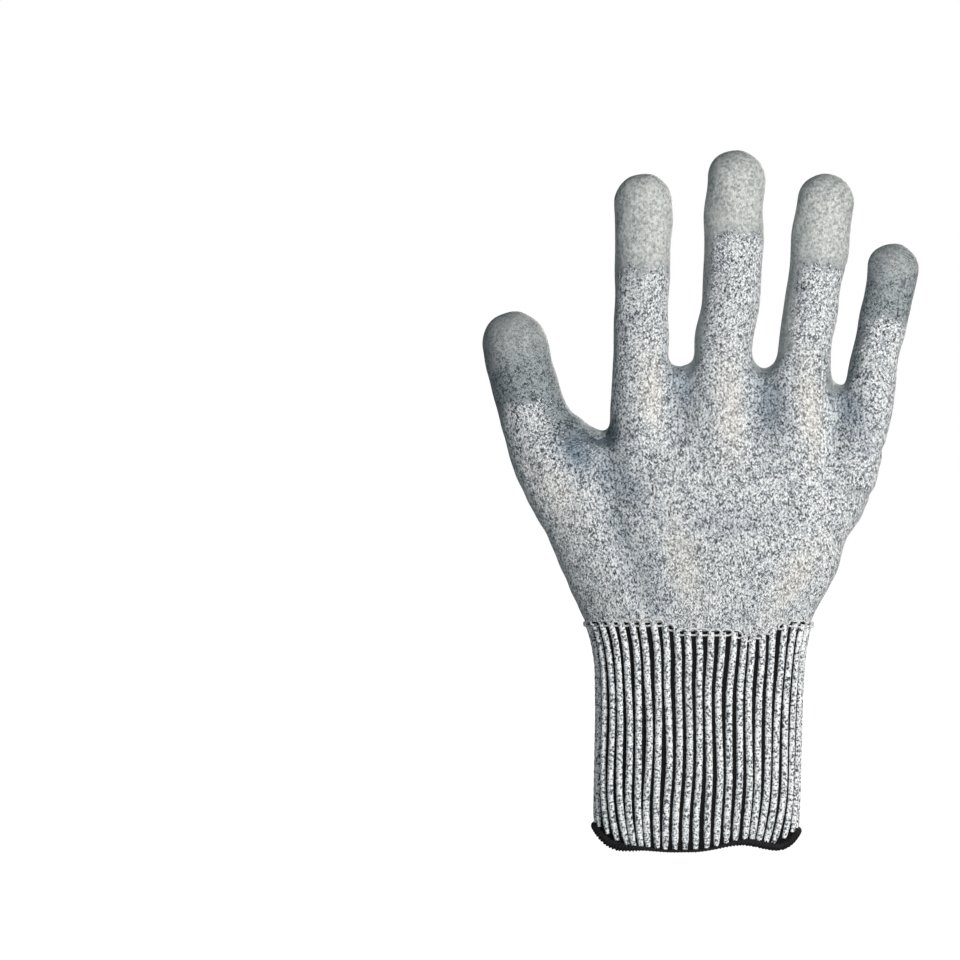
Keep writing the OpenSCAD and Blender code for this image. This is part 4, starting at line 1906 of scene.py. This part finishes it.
def cord_tree() -> bpy.types.NodeTree:
    """A tree that makes a round cord along each line, as thick as the points' own size says.

    Returns:
        The tree.
    """
    g = GrowTree("cord", Sides="Int")
    curve = g.add("GeometryNodeMeshToCurve", {"Mesh": g.given["Geometry"]})
    run = g.add("GeometryNodeSplineParameter")
    place = g.add("ShaderNodeCombineXYZ", {0: 0.0, 1: run.outputs["Length"], 2: g.stored("number")})
    kept = {"Geometry": curve.outputs[0], "Name": "rib"}
    marked = g.add("GeometryNodeStoreNamedAttribute", kept, data_type="FLOAT_VECTOR", domain="POINT")
    g.feed(marked.inputs["Value"], place.outputs[0])
    sized = g.add("GeometryNodeSetCurveRadius", {"Curve": marked.outputs[0], "Radius": g.stored("size")})
    ring = g.add("GeometryNodeCurvePrimitiveCircle", {"Resolution": g.given["Sides"], "Radius": 1.0})
    sweep = {"Curve": sized.outputs[0], "Profile Curve": ring.outputs[0], "Fill Caps": True}
    body = g.add("GeometryNodeCurveToMesh", sweep)
    if "Scale" in body.inputs:
        g.feed(body.inputs["Scale"], g.add("GeometryNodeInputRadius").outputs[0])
    smooth = g.add("GeometryNodeSetShadeSmooth", {"Geometry": body.outputs[0]})
    return g.finish(smooth.outputs[0])


def stitch_tree() -> bpy.types.NodeTree:
    """A tree that puts a stitch on each point, turned by the point's own way and out vectors.

    Returns:
        The tree.
    """
    g = GrowTree("stitches", Shape="Object", Tilt="Float")
    points = g.add("GeometryNodeMeshToPoints", {"Mesh": g.given["Geometry"]})
    out, way = g.stored("out", "FLOAT_VECTOR"), g.stored("way", "FLOAT_VECTOR")
    faced = g.add("FunctionNodeAlignRotationToVector", {"Vector": out}, axis="Z")
    aim = {"Rotation": faced.outputs[0], "Vector": way}
    aimed = g.add("FunctionNodeAlignRotationToVector", aim, axis="X", pivot_axis="Z")
    draw = g.add("FunctionNodeRandomValue", {"Seed": SEED}, data_type="FLOAT")
    g.feed(draw.inputs[2], g.math("MULTIPLY", g.given["Tilt"], -1.0))
    g.feed(draw.inputs[3], g.given["Tilt"])
    spin = g.add("ShaderNodeCombineXYZ", {0: 0.0, 1: 0.0, 2: draw.outputs[1]})
    lean = {"Rotation": aimed.outputs[0], "Rotate By": spin.outputs[0]}
    turned = g.add("FunctionNodeRotateRotation", lean, rotation_space="LOCAL")
    shape = g.add("GeometryNodeObjectInfo", {"Object": g.given["Shape"]})
    copies = {
        "Points": points.outputs[0],
        "Instance": shape.outputs["Geometry"],
        "Rotation": turned.outputs[0],
        "Scale": g.stored("size"),
    }
    return g.finish(g.add("GeometryNodeInstanceOnPoints", copies).outputs[0])


def loop_shape(name: str, path: np.ndarray, radius: float, sides: int, closed: bool) -> bpy.types.Object:
    """One stitch: a fine round yarn along a short path.

    Args:
        name: The object's name.
        path: The path's points in millimetres.
        radius: The yarn's radius.
        sides: Sides of the yarn.
        closed: Whether the path is a ring.

    Returns:
        The object.
    """
    n = len(path)
    ahead = np.roll(path, -1, axis=0) - np.roll(path, 1, axis=0)
    if not closed:
        ahead[0], ahead[-1] = path[1] - path[0], path[-1] - path[-2]
    ahead /= np.linalg.norm(ahead, axis=1)[:, None]
    side = np.cross(ahead, np.array([0, 0, 1.0]) + 1e-6)
    side /= np.linalg.norm(side, axis=1)[:, None]
    up = np.cross(side, ahead)
    angle = np.arange(sides) / sides * 2 * np.pi
    ring = side[:, None] * np.cos(angle)[None, :, None] + up[:, None] * np.sin(angle)[None, :, None]
    verts = (path[:, None] + radius * ring).reshape(-1, 3)
    faces = []
    for i in range(n if closed else n - 1):
        j = (i + 1) % n
        for k in range(sides):
            m = (k + 1) % sides
            faces.append([i * sides + k, i * sides + m, j * sides + m, j * sides + k])
    if not closed:
        faces += [list(range(sides))[::-1], [(n - 1) * sides + k for k in range(sides)]]
    return mesh_object(name, verts, faces)


# ---- sub-assemblies ----


@dataclass
class Liner:
    """The knitted liner of the hand and digits, cut where its bodies meet.

    Attributes:
        skin: The hand's outer face.
        form: The form it was made from.
        cuff: The cuff, for the height of the linking row.
        finish: The materials.
        thickness: Thickness of the knitting.
    """

    skin: Skin
    form: HandForm
    cuff: CuffForm
    finish: Finishes
    thickness: float = 1.0

    def palm_faces(self) -> np.ndarray:
        """Which faces belong to the palm and lie above the linking row.

        Returns:
            True for each such face.
        """
        centre = self.skin.verts[self.skin.quads].mean(axis=1)
        turn = self.form.palm.around(centre)
        return (self.skin.digit < 0) & (centre[:, Z] > self.cuff.link(turn) + 0.1)

    def cut(self, number: int) -> np.ndarray:
        """Which faces lie past the cut between a digit's two bends.

        Args:
            number: The digit's number.

        Returns:
            True for each such face.
        """
        digit = self.form.digits[number]
        middle = (digit.root_zone[1] + digit.mid_zone[0]) / 2
        return self.skin.along[number][self.skin.quads].mean(axis=1) > middle

    def layer(
        self,
        kind: str,
        slot: str,
        stands_for: tuple,
        keep: np.ndarray,
        material: bpy.types.Material,
        thickness: float,
        lift: np.ndarray | None = None,
    ) -> list[bpy.types.Object]:
        """Cuts a layer of cloth where the hand's bodies meet.

        Args:
            kind: What its pieces' names end with.
            slot: Not used.
            stands_for: The CAD nodes of its palm, and the endings of those of a digit's base and top.
            keep: Which of the skin's faces it covers.
            material: Its material.
            thickness: How thick it is.
            lift: How far each vertex of the skin is lifted.

        Returns:
            The pieces.
        """
        of_palm, of_base, of_top = stands_for
        palm = cloth(f"palm_{kind}", self.skin, keep & self.palm_faces(), material, thickness, lift)
        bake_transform(palm)
        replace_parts(palm, *of_palm)
        pieces = [palm]
        for i, digit in enumerate(self.form.digits):
            name, past = digit.digit.value, self.cut(i)
            mine = keep & (self.skin.digit == i)
            base = cloth(f"{name}_base_{kind}", self.skin, mine & ~past, material, thickness, lift)
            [digit.along(at) for at in digit.root_zone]
            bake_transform(base)
            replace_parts(base, *(f"{name}_{end}" for end in of_base))
            top = cloth(f"{name}_top_{kind}", self.skin, mine & past, material, thickness, lift)
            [digit.along(at) for at in digit.mid_zone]
            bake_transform(top)
            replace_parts(top, *(f"{name}_{end}" for end in of_top))
            pieces += [base, top]
        return pieces

    def build(self) -> list[bpy.types.Object]:
        """Makes the liner's pieces.

        Returns:
            The pieces.
        """
        of_palm = ["lower_palm_knit", "upper_palm_knit"]
        nodes = (of_palm, ["root_bend", "lower_stall"], ["mid_bend", "tip_stall"])
        everywhere = np.ones(len(self.skin.quads), bool)
        return self.layer("knit", "liner_yarn", nodes, everywhere, self.finish.liner, self.thickness)


@dataclass
class Coating:
    """The dip's own film, a little proud of the liner, away from its ragged edge.

    Attributes:
        liner: The liner that it lies on.
        inset: How far its edge stays inside the dip's ragged edge.
        film: Its thickness over the liner.
        thickness: Thickness of its own sheet.
    """

    liner: Liner
    inset: float = 2.6
    film: float = 0.16
    thickness: float = 0.25

    def build(self) -> list[bpy.types.Object]:
        """Makes the film's pieces.

        Returns:
            The pieces.
        """
        skin, coating = self.liner.skin, self.liner.finish.coating
        inside = (skin.coat > self.inset)[skin.quads].all(axis=1)
        lift = self.film * ease(skin.coat, self.inset, self.inset + 1.5) + 0.02
        nodes = (["palm_coating"], ["lower_coating"], ["tip_coating"])
        return self.liner.layer("dip", "dip_coating", nodes, inside, coating, self.thickness, lift)


@dataclass
class Cuff:
    """The ribbed elastic cuff with its hem, linking row and the end of the dip.

    Attributes:
        form: Its shape.
        finish: The materials.
        ground_depth: How far the elastic ground lies under the section.
        rib_depth: How far the middle of a rib lies under it.
        hem_lift: How far outside it the middle of the hem lies.
        hem_girth: Length of the hem, all the way round.
        stitch_pitch: Distance between the hem's stitches.
    """

    form: CuffForm
    finish: Finishes
    ground_depth: float = 0.25
    rib_depth: float = 0.26
    hem_lift: float = 0.15
    hem_girth: float = 178.0
    stitch_pitch: float = 1.25

    def build(self) -> list[bpy.types.Object]:
        """Makes the cuff's pieces.

        Returns:
            The pieces.
        """
        cord, stitches = cord_tree(), stitch_tree()
        made = [
            (self._ground(), "elastic_yarn", ["cuff_elastic_ground", "wrist_bend_knit"]),
            (self._ribs(cord), "rib_yarn", ["cuff_ribs"]),
            (self._hoops(cord), "elastic_yarn", ["cuff_elastic_hoops"]),
            (self._dip(), "dip_coating", ["cuff_coating"]),
            (self._links(stitches), "liner_yarn", ["linking_course"]),
            (self._hem(cord), "overlock_thread", ["overlock_hem"]),
            (self._hem_stitches(stitches), "overlock_thread", []),
        ]
        for piece, slot, nodes in made:
            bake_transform(piece)
            if nodes:
                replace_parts(piece, *nodes)
        return [piece for piece, _, _ in made]

    def _turns(self, count: int) -> np.ndarray:
        """Even places round the cuff, from mid palm.

        Args:
            count: How many.

        Returns:
            The turns.
        """
        return np.arange(count) / count - 0.5

    def _cords(
        self,
        name: str,
        tree: bpy.types.NodeTree,
        paths: list[np.ndarray],
        radii: list[np.ndarray],
        sides: int,
        closed: bool,
        material: bpy.types.Material,
    ) -> bpy.types.Object:
        """Round cords along paths of equal numbers of points.

        Args:
            name: The object's name.
            tree: The cord tree.
            paths: Each cord's points in millimetres.
            radii: Each cord's radius at its points.
            sides: Sides of a cord.
            closed: Whether they are rings.
            material: Their material.

        Returns:
            The object.
        """
        count, steps = len(paths), len(paths[0])
        ahead = [(k, (k + 1) % steps) for k in range(steps if closed else steps - 1)]
        edges = [(i * steps + a, i * steps + b) for i in range(count) for a, b in ahead]
        size = np.concatenate([radius * MM for radius in radii])
        number = np.repeat(np.arange(count, dtype=float), steps)
        seed = seed_mesh(np.vstack(paths), edges, {"size": size, "number": number})
        return grown(name, seed, tree, {"Sides": sides, "Material": material})

    def _stitched(
        self,
        name: str,
        tree: bpy.types.NodeTree,
        turns: np.ndarray,
        line: Callable[[np.ndarray], np.ndarray],
        lift: float,
        size: np.ndarray,
        inputs: dict,
    ) -> bpy.types.Object:
        """A row of stitches round the cuff.

        Args:
            name: The object's name.
            tree: The stitch tree.
            turns: Where the stitches are.
            line: Gives their heights from the turns.
            lift: How far outside the section they lie.
            size: How large each is.
            inputs: The tree's inputs, with one stitch as the shape, which is then thrown away.

        Returns:
            The object.
        """
        z = line(turns)
        place = self.form.place(turns, z, lift)
        way = self.form.place(turns + 0.003, line(turns + 0.003), lift) - place
        values = {"way": way, "out": self.form.out(turns, z), "size": size}
        piece = grown(name, seed_mesh(place, [], values), tree, inputs)
        bpy.data.objects.remove(inputs["Shape"])
        return piece

    def _ground(self) -> bpy.types.Object:
        """The black elastic ground that shows between the ribs."""
        turns = self._turns(240)
        low, high = self.form.hem(turns), self.form.link(turns) + 1.0

        def lift(turn: np.ndarray, z: np.ndarray) -> np.ndarray:
            return np.full(turn.shape, -self.ground_depth)

        return self.form.sheet("cuff_ground", turns, low, high, 64, lift, 0.9, self.finish.elastic, True)

    def _lean(self, turn: float, z: np.ndarray, high: float) -> np.ndarray:
        """How far a rib is pushed round the cuff.

        The ribs draw in from the cuff's lower corners, gather at one place under the linking row, and sway
        together on the back.

        Args:
            turn: Where the rib is, in turns.
            z: Heights along it.
            high: Its upper end.

        Returns:
            Turns, one for each height.
        """
        off = turn - 0.1
        corner = -np.sign(turn) * 0.034 * np.exp(-(((abs(turn) - 0.19) / 0.075) ** 2)) * np.exp(-z / 11)
        fan = -0.006 * np.tanh(off / 0.02) * np.exp(-((off / 0.06) ** 2)) * np.exp(-((high - z) / 11))
        bend = 0.0038 * np.sin(z / 15 + turn * 9) * ease(z, 8, 30) * ease(-z, -72, -55)
        return corner + fan + bend * ease(-abs(turn), -0.26, -0.2)

    def _ribs(self, tree: bpy.types.NodeTree) -> bpy.types.Object:
        """The ribs, each a cord that follows the cuff from the hem to the linking row."""
        draw = np.random.default_rng(SEED + 1)
        t = np.linspace(0, 1, 46)
        paths, radii = [], []
        for i, turn in enumerate(self._turns(self.form.ribs)):
            low = float(self.form.hem(np.array([turn]))[0]) + 0.6
            high = float(self.form.link(np.array([turn]))[0]) - 0.3
            z = low + (high - low) * t
            sway = 0.0011 * np.sin(z / draw.uniform(9, 16) + draw.uniform(0, 6.28))
            paths.append(self.form.place(turn + sway + self._lean(turn, z, high), z, -self.rib_depth))
            wave = 1 + 0.05 * np.sin(z * 1.9 + i)
            radii.append(self.form.rib_radius * wave * (0.72 + 0.28 * ease(t, 0, 0.05)))
        return self._cords("cuff_rib_yarn", tree, paths, radii, 10, False, self.finish.rib)

    def _hoops(self, tree: bpy.types.NodeTree) -> bpy.types.Object:
        """The elastic hoops that lie inside the cuff."""
        low, high = box_mm("cuff_elastic_hoops")
        turns = self._turns(96)
        heights = np.linspace(low[Z] + 6, high[Z], 7)
        paths = [self.form.place(turns, np.full(len(turns), z), -1.25) for z in heights]
        radii = [np.full(len(turns), 0.4)] * len(paths)
        return self._cords("cuff_hoops", tree, paths, radii, 6, True, self.finish.elastic)

    def _dip(self) -> bpy.types.Object:
        """The dip on the cuff's palm side, over ribs and grooves alike."""
        per_rib, share = 10, 0.44
        count = int(share * self.form.ribs) * per_rib
        turns = 0.5 + (np.arange(count + 1) / count - 0.5) * share

        def lift(turn: np.ndarray, z: np.ndarray) -> np.ndarray:
            off = np.abs((turn * self.form.ribs + 0.5) % 1 - 0.5) * 2
            over = np.sqrt(np.clip(1 - (off / 0.74) ** 2, 0, 1)) * (self.form.rib_radius + 0.05)
            return over + 0.02 + 0.35 * ease(off, 0.55, 1.0)

        low, high = self.form.dip(turns), np.full(len(turns), 81.5)
        return self.form.sheet("cuff_dip", turns, low, high, 44, lift, 0.3, self.finish.cuff_coating, False)

    def _links(self, tree: bpy.types.NodeTree) -> bpy.types.Object:
        """The linking row: a chain of loops where the cuff meets the hand."""
        turns = self._turns(self.form.ribs) + 0.5 / self.form.ribs
        angle = np.arange(16) / 16 * 2 * np.pi
        high = np.sin(angle)
        path = np.column_stack([1.9 * np.cos(angle), 1.2 * high - 0.3, 0.25 - 1.3 * (high < -0.1)])
        shape = loop_shape("link_shape", path, 0.35, 6, True)
        inputs = {"Shape": shape, "Tilt": 0.18, "Material": self.finish.link}
        return self._stitched("linking_loops", tree, turns, self.form.link, 0.95, np.ones(len(turns)), inputs)

    def _hem(self, tree: bpy.types.NodeTree) -> bpy.types.Object:
        """The body of the overlocked hem, a thick black cord along the cuff's wavy mouth."""
        turns = self._turns(300)
        path = self.form.place(turns, self.form.hem(turns), self.hem_lift)
        radius = self.form.bulk(turns) * 0.88
        return self._cords("hem_cord", tree, [path], [radius], 12, True, self.finish.hem)

    def _hem_stitches(self, tree: bpy.types.NodeTree) -> bpy.types.Object:
        """The overlock stitches that wrap the hem."""
        turns = self._turns(int(self.hem_girth / self.stitch_pitch))
        reach = self.form.hem_bulk
        angle = np.linspace(-2.6, 2.6, 11)
        path = np.column_stack([0.8 * angle / 2.6, reach * np.sin(angle), reach * np.cos(angle)])
        shape = loop_shape("hem_shape", path, 0.3, 5, False)
        inputs = {"Shape": shape, "Tilt": 0.12, "Material": self.finish.hem}
        size = self.form.bulk(turns) / reach
        return self._stitched("hem_stitches", tree, turns, self.form.hem, self.hem_lift, size, inputs)


@dataclass(frozen=True)
class Studio:
    """The plain surroundings, light and camera.

    Attributes:
        width: What the camera sees across, at the glove, in metres.
        middle: Where the middle of the picture is, as x and z.
        lens: The lens in millimetres.
        sky: Strength of the even light.
        key: Power of the main lamp in watts.
        fill: Power of the second lamp.
        back: Power of the lamp behind the glove.
    """

    width: float = 0.3443
    middle: tuple = (-0.0784, 0.132)
    lens: float = 150.0
    sky: float = 0.12
    key: float = 8.0
    fill: float = 2.9
    back: float = 13.0

    def build(self) -> None:
        """Sets up the floor, the light and the camera."""
        scene = bpy.context.scene
        scene.view_settings.view_transform = "Standard"
        self._floor()
        self._sky(scene)
        self._lamp("key", (0.46, -0.78, 0.22), (0, 0, 0.12), self.key, 0.25, (1.0, 0.965, 0.925))
        self._lamp("fill", (-0.55, -1.2, 0.15), (0, 0, 0.12), self.fill, 0.6, (0.9, 0.97, 1.0))
        self._lamp("back", (0.35, 1.2, 0.5), (0, 0, 0.12), self.back, 0.6, (1.0, 0.98, 0.95))
        data = bpy.data.cameras.new("camera")
        data.lens = self.lens
        data.sensor_width = 36
        data.shift_x = self.middle[0] / self.width
        camera = bpy.data.objects.new("camera", data)
        camera.location = (0, -self.width * self.lens / 36, self.middle[1])
        camera.rotation_euler = (math.pi / 2, 0, 0)
        scene.collection.objects.link(camera)
        scene.camera = camera

    def _floor(self) -> None:
        """A wide white floor that keeps only a faint shadow."""
        mesh = bpy.data.meshes.new("floor")
        mesh.from_pydata([(-4, -4, 0), (4, -4, 0), (4, 4, 0), (-4, 4, 0)], [], [(0, 1, 2, 3)])
        floor = bpy.data.objects.new("floor", mesh)
        floor.location.z = -0.0002
        material = bpy.data.materials.new("floor_white")
        material.use_nodes = True
        g = Graph(material.node_tree)
        shader = material.node_tree.nodes["Principled BSDF"]
        shader.inputs["Base Color"].default_value = (0.5, 0.5, 0.5, 1)
        shader.inputs["Roughness"].default_value = 1.0
        shader.inputs["Specular IOR Level"].default_value = 0.0
        glow = g.add("ShaderNodeEmission", {"Color": (1, 1, 1, 1), "Strength": 1.2})
        seen = g.add("ShaderNodeLightPath").outputs["Is Camera Ray"]
        share = g.math("MULTIPLY", seen, 0.85)
        both = g.add("ShaderNodeMixShader", {0: share, 1: shader.outputs[0], 2: glow.outputs[0]})
        g.feed(material.node_tree.nodes["Material Output"].inputs[0], both.outputs[0])
        mesh.materials.append(material)
        bpy.context.scene.collection.objects.link(floor)

    def _sky(self, scene: bpy.types.Scene) -> None:
        """Even light from all round, and a white backdrop for the camera.

        Args:
            scene: The scene.
        """
        world = bpy.data.worlds.new("sky")
        scene.world = world
        world.use_nodes = True
        g = Graph(world.node_tree)
        light = world.node_tree.nodes["Background"]
        light.inputs["Color"].default_value = (0.8, 0.92, 1, 1)
        light.inputs["Strength"].default_value = self.sky
        backdrop = g.add("ShaderNodeBackground", {"Color": (1, 1, 1, 1), "Strength": 1.0})
        seen = g.add("ShaderNodeLightPath").outputs["Is Camera Ray"]
        both = g.add("ShaderNodeMixShader", {0: seen, 1: light.outputs[0], 2: backdrop.outputs[0]})
        g.feed(world.node_tree.nodes["World Output"].inputs[0], both.outputs[0])

    def _lamp(self, name: str, place: tuple, aim: tuple, power: float, size: float, colour: tuple) -> None:
        """Adds a soft lamp.

        Args:
            name: Its name.
            place: Where it stands.
            aim: What it points at.
            power: Its power in watts.
            size: Its width in metres.
            colour: Its colour.
        """
        data = bpy.data.lights.new(name, "AREA")
        data.energy, data.size, data.color = power, size, colour
        lamp = bpy.data.objects.new(name, data)
        lamp.location = place
        way = np.array(aim, float) - np.array(place, float)
        yaw, pitch = math.atan2(way[1], way[0]), math.atan2(way[2], math.hypot(way[0], way[1]))
        lamp.rotation_euler = (math.pi / 2 + pitch, 0, yaw - math.pi / 2)
        bpy.context.scene.collection.objects.link(lamp)


def main() -> None:
    """Builds the glove and its surroundings."""
    logging.basicConfig(level=logging.INFO, format="%(message)s")
    form = hand_form()
    gauge = Gauge()
    finish = Finishes(MarlYarn(), Dip())
    skin = make_skin(form, gauge, 1.0)
    cuff_form = CuffForm(form.palm)
    liner = Liner(skin, form, cuff_form, finish)
    pieces = liner.build() + Coating(liner).build() + Cuff(cuff_form, finish).build()
    for piece in pieces:
        nodes = list(piece.get("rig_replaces", []))
        log.info("%s: %d faces, for %s", piece.name, len(piece.data.polygons), nodes)
    Studio().build()


if __name__ == "__main__":
    main()
